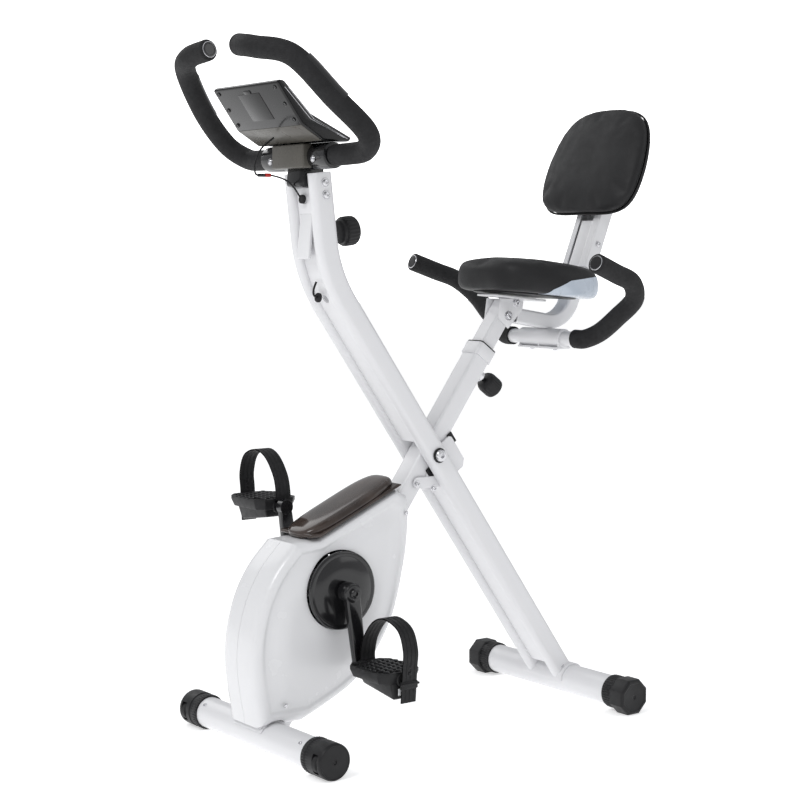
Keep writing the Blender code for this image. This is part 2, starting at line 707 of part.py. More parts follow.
def rear_frame():
    section = rounded_rect(RAIL_W, RAIL_D, 0.0105, 2)
    y_mid = RAIL_IN + RAIL_W / 2
    foot_cut = rod("rear_foot_cut", at(REAR_FOOT_X, 0, REAR_FOOT_Z), (0, 1, 0),
                   FOOT_TUBE_R + SADDLE_T + 2 * GAP, -0.1, 0.1, 32)
    path = [p + Vector((0, y_mid, 0)) for p in frame_path(-0.5060, RAIL_TOP_Z)]
    rail = sweep("rail_left", path, section, RAIL_WALL)
    unite(rail, lock_plate(RAIL_IN + 0.0007, RAIL_IN + 0.0037))
    cut(rail, foot_cut, rod("rail_pivot_cut", leg_axis(0), (0, 1, 0), 0.0063, -0.1, 0.1, 16))
    finish(settle(rail), "white_paint")
    mirrored(rail, "rail_right", "white_paint")
    web_section = [(x, y) for x, y in rounded_rect(2 * (RAIL_IN - GAP), 0.0026, 0.0006, 1)]
    upper = frame_path(0.0340, 0.9120)
    offset_path = [p + Vector((0.0092 * math.sin(LEG_ANGLE), 0, -0.0092 * math.cos(LEG_ANGLE))) for p in upper]
    web = sweep("upper_web", offset_path, web_section)
    cut(web, rod("grommet_cut_high", at(-0.0855, 0, 0.8700), (1, 0, 0), 0.0075, -0.03, 0.03, 16),
        rod("grommet_cut_low", at(-0.1199, 0.0, 0.7066), (0.82, 0, -0.57), 0.0075, -0.03, 0.03, 16))
    finish(settle(web), "white_paint")
    low = [leg_axis(-0.4720, -0.0092), leg_axis(-0.0640, -0.0092)]
    finish(sweep("lower_web", low, web_section), "white_paint")
    foot = ring("rear_stabilizer", at(REAR_FOOT_X, 0, REAR_FOOT_Z), (0, 1, 0), FOOT_TUBE_R,
                FOOT_TUBE_R - 0.002, -REAR_FOOT_HALF, REAR_FOOT_HALF, 32)
    unite(foot, foot_saddle("rear_saddle", at(REAR_FOOT_X, 0, REAR_FOOT_Z), 0.050, -40.0, 90.0, FOOT_TUBE_R - 0.001))
    finish(settle(foot), "white_paint", "rear_stabilizer")
    pivot_bolt()
    rear_caps()


def pivot_bolt():
    y = (0, 1, 0)
    outer = RAIL_IN + RAIL_W
    bolt = [(0.0, outer + 0.0095), (0.0080, outer + 0.0095), (0.0105, outer + 0.0070),
            (0.0105, outer + 0.0026), (0.0125, outer + 0.0024), (0.0125, outer + GAP),
            (0.0060, outer + GAP), (0.0060, -outer - GAP), (0.0125, -outer - GAP),
            (0.0125, -outer - 0.0024), (0.0100, -outer - 0.0026), (0.0100, -outer - 0.0090),
            (0.0, -outer - 0.0090)]
    finish(lathe("pivot_bolt", bolt, leg_axis(0), y, 20, False), "steel")


def lock_plate(low, high):
    """Oval plate welded inside a rail under the fold pivot, for the stop bolt."""
    a, b = leg_axis(-0.0450, -0.0165), leg_axis(-0.0210, -0.0500)
    outline = []
    heading = math.atan2(b.z - a.z, b.x - a.x)
    for i in range(7):
        t = heading + math.pi / 2 + math.pi * i / 6
        outline.append((a.x - FRONT_X + 0.0095 * math.cos(t), a.z + 0.0095 * math.sin(t)))
    for i in range(7):
        t = heading - math.pi / 2 + math.pi * i / 6
        outline.append((b.x - FRONT_X + 0.0095 * math.cos(t), b.z + 0.0095 * math.sin(t)))
    return plate("lock_plate", outline, low, high)


def rear_caps():
    """Eight-sided levelling caps, set off the tube's centre so that turning them lifts the bike."""
    for side, name in ((1, "left"), (-1, "right")):
        centre = at(REAR_FOOT_X, 0, REAR_CAP_FLATS / 2)
        radius = REAR_CAP_FLATS / 2 / math.cos(math.pi / 8)
        nose = [(0.0, REAR_CAP_OUT), (radius - 0.004, REAR_CAP_OUT), (radius, REAR_CAP_OUT - 0.004),
                (radius, 0.1740), (0.0, 0.1740)]
        cap = lathe("rear_cap_" + name, nose, Vector((0, 0, 0)), (0, side, 0), 8, False)
        cap.data.transform(Matrix.Translation(centre) @ Matrix.Rotation(math.pi / 8, 4, "Y"))
        collar = rod("cap_collar", at(REAR_FOOT_X, 0, REAR_FOOT_Z), (0, side, 0), 0.0283, 0.1520, 0.1760, 28)
        socket = rod("cap_socket", at(REAR_FOOT_X, 0, REAR_FOOT_Z), (0, side, 0), FOOT_TUBE_R + GAP,
                     0.1400, REAR_FOOT_HALF + GAP, 32)
        unite(cap, collar)
        finish(settle(cut(cap, socket)), "black_plastic", "rear_cap_" + name)


def tension_knob():
    """Knob on the rider's side of the upright."""
    lean = Vector((-math.sin(LEAN_ANGLE), 0, math.cos(LEAN_ANGLE)))
    place = at(-0.1280, 0, 0.8160)
    dome = [(0.0, 0.0560), (0.0100, 0.0545), (0.0185, 0.0470), (0.0230, 0.0380), (0.0240, 0.0260),
            (0.0220, 0.0245), (0.0, 0.0245)]
    finish(lathe("tension_knob", dome, place, lean, 28, False), "black_plastic")


def front_plate():
    """Screwed cover over the tension mechanism, in the channel of the upright."""
    lean = math.pi / 2 - LEAN_ANGLE
    finish(block("front_plate", (0.0060, 0.0330, 0.0720), at(-0.0905, 0, 0.8120), lean, 0.0028, 2),
           "white_plastic")


# ---------------------------------------------------------------- handlebar and console
BAR_ROUTE = [(0.0582, 0.0456, 1.0959), (0.0617, 0.0955, 1.0880), (0.0340, 0.1531, 1.0724),
             (-0.0170, 0.1842, 1.0123), (-0.0672, 0.1965, 0.9635), (-0.0880, 0.1640, 0.9395),
             (-0.0842, 0.1163, 0.9348)]


def handlebar():
    half = smooth_path([at(*p) for p in BAR_ROUTE], 2)
    full = half + [Vector((p.x, -p.y, p.z)) for p in reversed(half)]
    finish(settle(pipe("handlebar_tube", full, BAR_R, 0.0016, 2)), "steel")
    grip_path = half + [at(BAR_AXIS[0], CLAMP_HALF + 0.002, BAR_AXIS[1])]
    grip = pipe("grip_left", grip_path, FOAM_R, FOAM_R - BAR_R - FIT, 2)
    finish(settle(grip), "foam")
    mirrored(grip, "grip_right", "foam")
    handlebar_clamp()


def handlebar_clamp():
    """Sleeve round the bar, its stem down between the rails, and the neck up to the console."""
    centre = at(BAR_AXIS[0], 0, BAR_AXIS[1])
    clamp = ring("handlebar_clamp", centre, (0, 1, 0), 0.0205, BAR_R + GAP, -CLAMP_HALF, CLAMP_HALF, 24)
    lean = math.pi / 2 - LEAN_ANGLE
    stem = block("clamp_stem", (0.0130, 2 * (RAIL_IN - GAP), 0.0600), at(-0.1010, 0, 0.8950), lean, 0.001, 1)
    neck = [(-0.0560, 0.9170), (-0.0560, 0.9540), (-0.0750, 0.9545), (-0.0750, 0.9170)]
    unite(clamp, stem, plate("console_neck", neck, -0.0300, 0.0300))
    cut(clamp, rod("clamp_bore", centre, (0, 1, 0), BAR_R + GAP, -0.2, 0.2, 24))
    finish(settle(clamp), "black_plastic", "handlebar_clamp")


CONSOLE = [(0.0220, 1.0390), (-0.0220, 0.9790), (-0.0620, 0.9560), (-0.1100, 0.9560), (-0.1160, 0.9620),
           (-0.0400, 0.9960), (0.0080, 1.0430), (0.0170, 1.0440)]
CONSOLE_HALF = 0.0920


def console():
    body = plate("console_body", CONSOLE, -CONSOLE_HALF, CONSOLE_HALF)
    key_place = at(-0.0790, 0, 0.9785)
    turn = math.radians(24.0)
    well = block("key_well", (0.0150, 0.0250, 0.0080), key_place, -turn)
    finish(settle(cut(body, well)), "dark_grey_plastic")
    key = block("console_button", (0.0140, 0.0240, 0.0050),
                key_place + Vector((-math.sin(turn) * 0.0012, 0, math.cos(turn) * 0.0012)), -turn, 0.001, 1)
    finish(key, "grey_plastic")


WIRE_ROUTE = [(-0.0317, 0.0, 0.9640), (-0.0095, 0.0, 0.9470), (0.0015, 0.0, 0.9282), (0.0034, 0.0, 0.9129),
              (-0.0020, 0.0, 0.9054), (-0.0240, 0.0, 0.9060), (-0.0499, 0.0, 0.9005), (-0.0666, 0.0, 0.8901),
              (-0.0800, 0.0, 0.8740)]


def wires():
    path = smooth_path([at(*p) for p in WIRE_ROUTE], 2)
    finish(pipe("console_wire", path, 0.0014, None, 2), "rubber")
    finish(rod("wire_grommet", at(-0.0855, 0, 0.8700), (1, 0, 0), 0.0072, -0.0050, 0.0040, 14), "rubber")


# ---------------------------------------------------------------- seat
def seat():
    section = rounded_rect(POST_W, POST_D, 0.004, 2)
    post = sweep("seat_post", [main_axis(POST_BOTTOM), main_axis(POST_TOP)], section, 0.0018)
    holes = [rod("post_hole", main_axis(PIN_T - 0.025 * i, -0.02), tilt(1), 0.0048, -0.02, 0.018, 10)
             for i in range(-3, 6)]
    finish(settle(cut(post, *holes)), "white_paint")
    stem = rod("seat_pin", main_axis(PIN_T), tilt(-1), 0.0040, 0.0149, 0.0420, 12, 0.001)
    knob = [(0.0, 0.0690), (0.0150, 0.0690), (0.0180, 0.0660), (0.0180, 0.0400), (0.0160, 0.0370), (0.0, 0.0370)]
    unite(stem, lathe("pin_knob", knob, main_axis(PIN_T), tilt(-1), 20, False))
    finish(settle(stem), "black_plastic", "seat_pin")
    cushion_and_base()
    backrest_tube()
    side_handle()


SEAT_HALF = [(-0.4340, 0.0), (-0.4360, 0.0300), (-0.4480, 0.0620), (-0.4680, 0.0900), (-0.5000, 0.1120),
             (-0.5400, 0.1260), (-0.5900, 0.1290), (-0.6250, 0.1180), (-0.6450, 0.0900), (-0.6440, 0.0500),
             (-0.6400, 0.0)]


def seat_outline(inset):
    """Plan of the saddle, pulled in by an inset."""
    centre = Vector((-0.5450, 0.0))
    points = [Vector(p) for p in SEAT_HALF]
    points += [Vector((p[0], -p[1])) for p in reversed(SEAT_HALF[1:-1])]
    return [p + (centre - p).normalized() * inset for p in points]


def slab(name, outline, z_low, z_high, slope, bevel):
    """A plan outline as a solid between two heights, sloping down to the rear."""
    curve = poly_curve(name, [(FRONT_X + p.x, p.y) for p in outline], "2D", True)
    curve.data.fill_mode = "BOTH"
    curve.data.extrude = (z_high - z_low) / 2
    curve.location = (0.0, 0.0, (z_low + z_high) / 2)
    bpy.context.view_layer.update()
    solid = curve_to_mesh(curve)
    apply_transform(solid)
    for vert in solid.data.vertices:
        vert.co.z += slope * (vert.co.x - FRONT_X + 0.5450)
    if bevel:
        bm = bmesh.new()
        bm.from_mesh(solid.data)
        rim = [e for e in bm.edges if e.calc_face_angle(0) > 1.0 and
               all(v.co.z - slope * (v.co.x - FRONT_X + 0.5450) > z_high - 0.001 for v in e.verts)]
        bmesh.ops.bevel(bm, geom=rim, offset=bevel, segments=3, affect="EDGES", profile=0.5)
        bm.to_mesh(solid.data)
        bm.free()
    return solid


def cushion_and_base():
    slope = 0.10
    cushion = slab("saddle_cushion", seat_outline(0.0), 0.7200, 0.7680, slope, 0.016)
    finish(cushion, "leather")
    base = slab("saddle_base", seat_outline(0.010), 0.7110, 0.7197, slope, 0.0)
    finish(base, "dark_grey_plastic")
    top_plate = block("seat_bracket", (0.1100, 0.0560, 0.0036), at(-0.5200, 0, 0.7108), math.radians(-5.7))
    cheek = [(-0.4790, 0.7100), (-0.5310, 0.7080), (-0.5280, 0.6880), (-0.4960, 0.6560), (-0.4740, 0.6740)]
    low, high = POST_W / 2 + GAP, POST_W / 2 + GAP + 0.0025
    unite(top_plate, plate("cheek", cheek, low, high), plate("cheek_far", cheek, -high, -low))
    finish(settle(top_plate), "steel", "seat_bracket")


def backrest_tube():
    """L-shaped tube from the seat post back and up behind the seat."""
    corner = back_axis(-0.2005, -0.0120)
    start = at(-0.5205, 0, 0.6785)
    end = back_axis(-0.0080, -0.0120)
    path = filleted([start, corner, end], 0.055, 4)
    tube = sweep("backrest_tube", path, rounded_rect(TUBE_W, TUBE_D, 0.004, 2), 0.0018)
    finish(settle(tube), "white_paint")
    rail = sweep("backrest_rail", [back_axis(-0.0950, -0.0125), back_axis(0.1300, -0.0125)],
                 rounded_rect(RAIL_BACK_W, RAIL_BACK_D, 0.003, 1), 0.0018)
    slot = sweep("rail_slot", [back_axis(-0.20, 0.0), back_axis(0.20, 0.0)],
                 rounded_rect(TUBE_W + 0.0016, 0.0300, 0.001, 1))
    finish(settle(cut(rail, slot)), "white_paint", "backrest_rail")


SIDE_ROUTE = [(-0.4918, 0.2418, 0.7689), (-0.5400, 0.2360, 0.7520), (-0.5822, 0.2293, 0.7368),
              (-0.6095, 0.2074, 0.7081), (-0.6089, 0.1689, 0.6776), (-0.6060, 0.1314, 0.6515),
              (-0.5964, 0.1040, 0.6390), (-0.5948, 0.0800, 0.6380)]


def side_handle():
    half = smooth_path([at(*p) for p in SIDE_ROUTE], 2)
    full = half + [Vector((p.x, -p.y, p.z)) for p in reversed(half)]
    finish(settle(pipe("side_handle", full, BAR_R, 0.0016, 2)), "white_paint")
    grip = pipe("handle_foam_left", half, FOAM_R - 0.0005, FOAM_R - BAR_R - 0.0005 - FIT, 2)
    finish(settle(grip), "foam")
    mirrored(grip, "handle_foam_right", "foam")
    handle_clamp()


def handle_clamp():
    """Sleeve round the middle of the side handle, open on top where the seat tube rests."""
    centre = at(SIDE_ROUTE[-1][0], 0, SIDE_ROUTE[-1][2])
    clamp = ring("handle_clamp", centre, (0, 1, 0), 0.0165, BAR_R + GAP, -0.055, 0.055, 20)
    seat_tube = block("seat_tube_cut", (0.0600, TUBE_W + 0.0010, 0.0100), centre + Vector((0, 0, 0.0179)))
    finish(settle(cut(clamp, seat_tube)), "steel", "handle_clamp")


def backrest():
    outline = back_outline()
    board = back_plate("backrest_board", outline, 0.0030, 0.0110, 0.004)
    finish(board, "black_plastic")
    cushion = back_plate("backrest_cushion", outline, 0.0113, 0.0480, 0.0)
    finish(cushion, "leather")


def back_outline():
    """Rounded trapezoid of the backrest in its own plane: (y, t)."""
    half = [(0.0, 0.0), (0.0650, 0.0), (0.0980, 0.0080), (0.1210, 0.0300), (0.1290, 0.0650), (0.1270, 0.1050),
            (0.1130, 0.1500), (0.0880, 0.1800), (0.0500, 0.1970), (0.0, 0.2020)]
    return half + [(-y, t) for y, t in reversed(half[1:-1])]


def back_plate(name, outline, low, high, inset):
    curve = poly_curve(name, outline, "2D", True)
    curve.data.fill_mode = "BOTH"
    curve.data.extrude = (high - low) / 2
    bpy.context.view_layer.update()
    solid = curve_to_mesh(curve)
    for vert in solid.data.vertices:
        y, t, n = vert.co
        shrink = 1.0 - inset / 0.12
        vert.co = back_axis(0.10 + (t - 0.10) * shrink, n + (low + high) / 2, y * shrink)
    clean(solid.data)
    return solid


front_foot()
main_frame()
drive()
cranks()
housing()
rear_frame()
front_plate()
tension_knob()
handlebar()
console()
wires()
seat()
backrest()
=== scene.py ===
# %% [markdown]
# # A folding exercise bike
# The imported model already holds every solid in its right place.
# This lesson dresses it: it sets the studio, mixes a finish for each material,
# and models in finer form the pieces that a rider sees and touches.

# %% Load the frame
import json
import math
import bmesh
import bpy
from mathutils import Matrix, Vector


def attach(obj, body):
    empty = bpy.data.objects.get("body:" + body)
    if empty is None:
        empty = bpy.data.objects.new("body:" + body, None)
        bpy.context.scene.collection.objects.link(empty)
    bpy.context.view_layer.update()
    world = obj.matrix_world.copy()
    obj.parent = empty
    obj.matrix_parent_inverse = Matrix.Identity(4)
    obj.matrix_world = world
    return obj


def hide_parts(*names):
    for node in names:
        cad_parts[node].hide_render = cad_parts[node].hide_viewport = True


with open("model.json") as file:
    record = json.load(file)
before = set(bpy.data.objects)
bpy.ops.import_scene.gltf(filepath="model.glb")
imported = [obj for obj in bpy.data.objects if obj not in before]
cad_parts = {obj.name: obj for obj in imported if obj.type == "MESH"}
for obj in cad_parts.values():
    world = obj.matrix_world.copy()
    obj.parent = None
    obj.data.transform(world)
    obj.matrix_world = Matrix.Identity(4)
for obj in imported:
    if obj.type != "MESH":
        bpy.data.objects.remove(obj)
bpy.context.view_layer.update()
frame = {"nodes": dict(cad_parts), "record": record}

# %% [markdown]
# The camera stands ahead of the bike on the rider's left, at handlebar height.
# A long lens keeps the tubes nearly parallel. The floor and the world are pale
# and even, because white paint needs soft light to show its edges.

# %% Camera
FRONT_X = 0.3472
CAMERA_YAW = 0.6481
CAMERA_PITCH = 0.0844
towards = Vector((math.sin(CAMERA_YAW) * math.cos(CAMERA_PITCH),
                  math.cos(CAMERA_YAW) * math.cos(CAMERA_PITCH), math.sin(CAMERA_PITCH)))
bpy.ops.object.select_all(action="DESELECT")
bpy.ops.object.camera_add(location=(FRONT_X + 1.463, 2.2984, 0.7871))
camera = bpy.context.object
camera.rotation_euler = towards.to_track_quat("Z", "Y").to_euler()
camera.data.lens = 78.66
camera.data.sensor_width = 36.0
camera.data.clip_end = 50.0
bpy.context.scene.camera = camera
print("camera at", tuple(round(v, 3) for v in camera.location))

# %% Floor, world and lights
bpy.ops.mesh.primitive_plane_add(size=40.0, location=(0.0, 0.0, 0.0))
floor = bpy.context.object
floor.name = "studio_floor"
floor_paint = bpy.data.materials.new("studio_floor")
floor_paint.use_nodes = True
floor_shader = floor_paint.node_tree.nodes["Principled BSDF"]
floor_shader.inputs["Base Color"].default_value = (0.93, 0.93, 0.93, 1.0)
floor_shader.inputs["Roughness"].default_value = 0.9
floor_shader.inputs["Emission Color"].default_value = (1.0, 1.0, 1.0, 1.0)
floor_shader.inputs["Emission Strength"].default_value = 0.50
floor.data.materials.append(floor_paint)

world = bpy.data.worlds.new("studio")
bpy.context.scene.world = world
world.use_nodes = True
sky = world.node_tree
soft = sky.nodes["Background"]
soft.inputs["Color"].default_value = (0.97, 0.98, 1.0, 1.0)
soft.inputs["Strength"].default_value = 0.58
wall_light = sky.nodes.new("ShaderNodeBackground")
wall_light.inputs["Strength"].default_value = 2.6
seen = sky.nodes.new("ShaderNodeLightPath")
choose = sky.nodes.new("ShaderNodeMixShader")
sky.links.new(seen.outputs["Is Camera Ray"], choose.inputs["Fac"])
sky.links.new(soft.outputs["Background"], choose.inputs[1])
sky.links.new(wall_light.outputs["Background"], choose.inputs[2])
sky.links.new(choose.outputs["Shader"], sky.nodes["World Output"].inputs["Surface"])
bpy.context.scene.view_settings.view_transform = "Standard"

LIGHTS = [("key", (2.8, 0.6, 3.2), 44.0, 1.4), ("side", (-2.4, 2.6, 2.0), 10.0, 1.8),
          ("rim", (0.4, -3.0, 2.6), 16.0, 2.0)]
for name, place, power, size in LIGHTS:
    bpy.ops.object.light_add(type="AREA", location=place)
    lamp = bpy.context.object
    lamp.name = name + "_light"
    lamp.data.energy = power
    lamp.data.size = size
    lamp.rotation_euler = (Vector(place) - Vector((0, 0, 0.5))).to_track_quat("Z", "Y").to_euler()
print("lights:", len(LIGHTS))

# %% [markdown]
# Real finishes are never one flat colour. Each one here starts from the
# Principled shader, and a cloud of noise shifts its tint and its roughness a
# little. A second, finer pattern makes the bump: orange peel for powder coat,
# cells for grained vinyl, a dense grain for foam and moulded plastic.

# %% Nodes that every finish shares
def cloud(tree, scale, detail=4.0, stretch=(1.0, 1.0, 1.0)):
    """Noise in object space, and its strength between 0 and 1."""
    place = tree.nodes.new("ShaderNodeTexCoord")
    mapping = tree.nodes.new("ShaderNodeMapping")
    mapping.inputs["Scale"].default_value = stretch
    noise = tree.nodes.new("ShaderNodeTexNoise")
    noise.inputs["Scale"].default_value = scale
    noise.inputs["Detail"].default_value = detail
    tree.links.new(place.outputs["Object"], mapping.inputs["Vector"])
    tree.links.new(mapping.outputs["Vector"], noise.inputs["Vector"])
    return noise


def cells(tree, scale):
    """Rounded cells in object space, as in grained vinyl or moulded plastic."""
    place = tree.nodes.new("ShaderNodeTexCoord")
    pattern = tree.nodes.new("ShaderNodeTexVoronoi")
    pattern.feature = "DISTANCE_TO_EDGE"
    pattern.inputs["Scale"].default_value = scale
    tree.links.new(place.outputs["Object"], pattern.inputs["Vector"])
    limit = tree.nodes.new("ShaderNodeMapRange")
    limit.inputs["From Max"].default_value = 0.25
    tree.links.new(pattern.outputs["Distance"], limit.inputs["Value"])
    return limit


def spread(tree, source, low, high):
    """The noise's middle range, stretched to run from low to high."""
    limit = tree.nodes.new("ShaderNodeMapRange")
    limit.inputs["From Min"].default_value = 0.3
    limit.inputs["From Max"].default_value = 0.7
    limit.inputs["To Min"].default_value = low
    limit.inputs["To Max"].default_value = high
    tree.links.new(source, limit.inputs["Value"])
    return limit.outputs["Result"]


# %% One finish
def surface(name, colour, rough, metal=0.0, coat=0.0, mottle=(25.0, 0.05), vary=0.05,
            grain=(900.0, 0.1, 0.0002), cell=None, stretch=(1.0, 1.0, 1.0)):
    """A Principled finish with a drifting tint, a drifting roughness and a fine bump."""
    look = bpy.data.materials.new(name)
    look.use_nodes = True
    tree = look.node_tree
    shader = tree.nodes["Principled BSDF"]
    shader.inputs["Metallic"].default_value = metal
    shader.inputs["Coat Weight"].default_value = coat
    shader.inputs["Coat Roughness"].default_value = 0.12
    shader.inputs["Specular IOR Level"].default_value = 0.5 if metal or colour[0] > 0.2 else 0.26
    tint = tree.nodes.new("ShaderNodeValToRGB")
    tint.color_ramp.elements[0].position = 0.3
    tint.color_ramp.elements[1].position = 0.7
    tint.color_ramp.elements[0].color = (*[c * (1 - mottle[1]) for c in colour], 1.0)
    tint.color_ramp.elements[1].color = (*[min(c * (1 + mottle[1]), 1.0) for c in colour], 1.0)
    drift = cloud(tree, mottle[0])
    tree.links.new(drift.outputs["Fac"], tint.inputs["Fac"])
    tree.links.new(tint.outputs["Color"], shader.inputs["Base Color"])
    wear = cloud(tree, mottle[0] * 3.1, 6.0, stretch)
    tree.links.new(spread(tree, wear.outputs["Fac"], rough - vary, rough + vary), shader.inputs["Roughness"])
    fine = cloud(tree, grain[0], 2.0, stretch)
    bump = tree.nodes.new("ShaderNodeBump")
    bump.inputs["Strength"].default_value = grain[1]
    bump.inputs["Distance"].default_value = grain[2]
    tree.links.new(fine.outputs["Fac"], bump.inputs["Height"])
    if cell:
        skin = cells(tree, cell[0])
        hide = tree.nodes.new("ShaderNodeBump")
        hide.inputs["Strength"].default_value = cell[1]
        hide.inputs["Distance"].default_value = cell[2]
        tree.links.new(skin.outputs["Result"], hide.inputs["Height"])
        tree.links.new(bump.outputs["Normal"], hide.inputs["Normal"])
        bump = hide
    tree.links.new(bump.outputs["Normal"], shader.inputs["Normal"])
    return look


# %% [markdown]
# The palette follows the bike: glossy white powder coat on the steel, a
# slightly whiter plastic on the housing, several blacks that differ mostly in
# how they shine, bright zinc on the bolts, and a smoky brown cover.

# %% Palette
LOOKS = {
    "paint": (surface("white_powder_coat", (0.73, 0.73, 0.745), 0.30, coat=0.30, mottle=(9.0, 0.005), vary=0.02,
                      grain=(420.0, 0.10, 0.0002)), "white_paint"),
    "shell": (surface("white_moulded_plastic", (0.74, 0.742, 0.755), 0.26, coat=0.25, mottle=(6.0, 0.004), vary=0.02,
                      grain=(1500.0, 0.05, 0.0001)), "white_plastic"),
    "foam": (surface("closed_cell_foam", (0.014, 0.014, 0.015), 0.70, mottle=(60.0, 0.18), vary=0.08,
                     grain=(1800.0, 0.35, 0.0003), cell=(1500.0, 0.15, 0.0002)), "foam"),
    "black": (surface("black_moulded_plastic", (0.013, 0.013, 0.014), 0.42, mottle=(40.0, 0.15), vary=0.07,
                      grain=(1600.0, 0.20, 0.0002)), "black_plastic"),
    "gloss": (surface("black_gloss", (0.009, 0.009, 0.010), 0.20, coat=0.6, mottle=(20.0, 0.10), vary=0.04,
                      grain=(300.0, 0.04, 0.0001)), "crank_black"),
    "vinyl": (surface("grained_black_vinyl", (0.014, 0.014, 0.015), 0.52, mottle=(18.0, 0.16), vary=0.06,
                      grain=(1400.0, 0.12, 0.0002), cell=(620.0, 0.22, 0.0003)), "black_leather"),
    "panel": (surface("blue_grey_trim", (0.50, 0.56, 0.64), 0.28, coat=0.3, mottle=(14.0, 0.05),
                      grain=(1200.0, 0.08, 0.0001)), "grey_plastic"),
    "console": (surface("dark_console_plastic", (0.0065, 0.0065, 0.0070), 0.20, coat=0.30, mottle=(22.0, 0.06), vary=0.03,
                        grain=(700.0, 0.02, 0.0001)), "dark_grey_plastic"),
    "taupe": (surface("warm_grey_plastic", (0.085, 0.080, 0.070), 0.30, coat=0.1, mottle=(22.0, 0.06),
                      grain=(1300.0, 0.06, 0.0001)), "dark_grey_plastic"),
    "steel": (surface("bright_zinc", (0.66, 0.66, 0.68), 0.22, metal=1.0, mottle=(120.0, 0.08), vary=0.08,
                      grain=(700.0, 0.06, 0.0001), stretch=(1.0, 6.0, 1.0)), "steel"),
    "iron": (surface("machined_iron", (0.20, 0.20, 0.21), 0.40, metal=1.0, mottle=(60.0, 0.12), vary=0.10,
                     grain=(500.0, 0.15, 0.0002)), "cast_iron"),
    "rubber": (surface("soft_black_rubber", (0.013, 0.013, 0.014), 0.55, mottle=(50.0, 0.18), vary=0.08,
                       grain=(1200.0, 0.18, 0.0002)), "rubber"),
    "smoke": (surface("smoky_brown_gloss", (0.042, 0.030, 0.025), 0.10, coat=0.45, mottle=(16.0, 0.45), vary=0.02,
                      grain=(200.0, 0.02, 0.0001), stretch=(1.0, 4.0, 1.0)), "smoky_cover"),
    "silver": (surface("silver_trim", (0.55, 0.55, 0.57), 0.25, metal=1.0, mottle=(80.0, 0.05),
                       grain=(900.0, 0.05, 0.0001)), "steel"),
    "glass": (surface("display_glass", (0.010, 0.014, 0.016), 0.05, coat=1.0, mottle=(10.0, 0.20), vary=0.02,
                      grain=(100.0, 0.01, 0.0001)), "dark_grey_plastic"),
    "lens": (surface("reflector_lens", (0.70, 0.71, 0.72), 0.15, coat=0.8, mottle=(60.0, 0.08),
                     grain=(900.0, 0.05, 0.0001), cell=(700.0, 0.5, 0.0004)), "grey_plastic"),
    "grey": (surface("grey_key", (0.30, 0.31, 0.33), 0.40, mottle=(40.0, 0.08),
                     grain=(1300.0, 0.10, 0.0001)), "grey_plastic"),
    "red": (surface("red_plug", (0.45, 0.015, 0.012), 0.35, mottle=(60.0, 0.10)), "rubber"),
}
print("finishes:", len(LOOKS))

# %% [markdown]
# ## A maker's few tools
# Everything below is made from a handful of moves: a disc that is extruded and
# resized ring by ring (as on a lathe), an outline that is extruded sideways, a
# box with rounded edges, and a section swept along a bent line.
# Each finished piece keeps its object at the origin, so that its place is in
# its mesh, rides on one body of the bike and takes one finish.

# %% Selecting and finishing
made = []


def deselect():
    """Object mode, with nothing selected."""
    if bpy.context.object and bpy.context.object.mode != "OBJECT":
        bpy.ops.object.mode_set(mode="OBJECT")
    bpy.ops.object.select_all(action="DESELECT")


def alone(obj):
    """Only this object is selected and active."""
    deselect()
    obj.select_set(True)
    bpy.context.view_layer.objects.active = obj
    return obj


def settled(obj):
    """Modifiers applied, and the object's place moved into its mesh."""
    alone(obj)
    for modifier in list(obj.modifiers):
        bpy.ops.object.modifier_apply(modifier=modifier.name)
    bpy.ops.object.transform_apply(location=True, rotation=True, scale=True)
    return obj


def finish(obj, name, body, look, nodes=(), smooth=38.0):
    """Name it, finish it and let it ride; the nodes are the solids that it stands for."""
    settled(obj)
    bpy.ops.object.shade_smooth_by_angle(angle=math.radians(smooth))
    obj.name = name
    obj.data.name = name
    paint, slot = LOOKS[look]
    obj.data.materials.clear()
    obj.data.materials.append(paint)
    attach(obj, body)
    if nodes:
        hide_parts(*nodes)
    made.append(name)
    return obj


# %% Rings, outlines and boxes
def turned(rings, place, axis, sides=48, ribs=None):
    """A disc extruded and resized to each (radius, height) in turn, along an axis."""
    deselect()
    radius, height = rings[0]
    bpy.ops.mesh.primitive_circle_add(vertices=sides, radius=radius, fill_type="NGON", location=(0, 0, 0))
    obj = bpy.context.object
    bpy.ops.object.mode_set(mode="EDIT")
    bpy.ops.mesh.select_all(action="SELECT")
    bpy.ops.transform.translate(value=(0, 0, height))
    for wide, high in rings[1:]:
        bpy.ops.mesh.extrude_region_move(TRANSFORM_OT_translate={"value": (0, 0, high - height)})
        bpy.ops.transform.resize(value=(wide / radius, wide / radius, 1.0), center_override=(0, 0, high))
        radius, height = wide, high
    bpy.ops.mesh.select_all(action="SELECT")
    bpy.ops.mesh.normals_make_consistent(inside=False)
    bpy.ops.object.mode_set(mode="OBJECT")
    if ribs:
        ribbed(obj, sides, *ribs)
    obj.rotation_euler = Vector(axis).to_track_quat("Z", "Y").to_euler()
    obj.location = place
    bpy.ops.object.transform_apply(location=True, rotation=True, scale=True)
    return obj


def ribbed(obj, sides, depth, low, high):
    """Pull in two of every four corners of each ring between two heights."""
    for vert in obj.data.vertices:
        corner = round(math.atan2(vert.co.y, vert.co.x) / math.tau * sides) % 4
        if low < vert.co.z < high and corner < 2:
            radius = math.hypot(vert.co.x, vert.co.y)
            vert.co.x *= (radius - depth) / radius
            vert.co.y *= (radius - depth) / radius


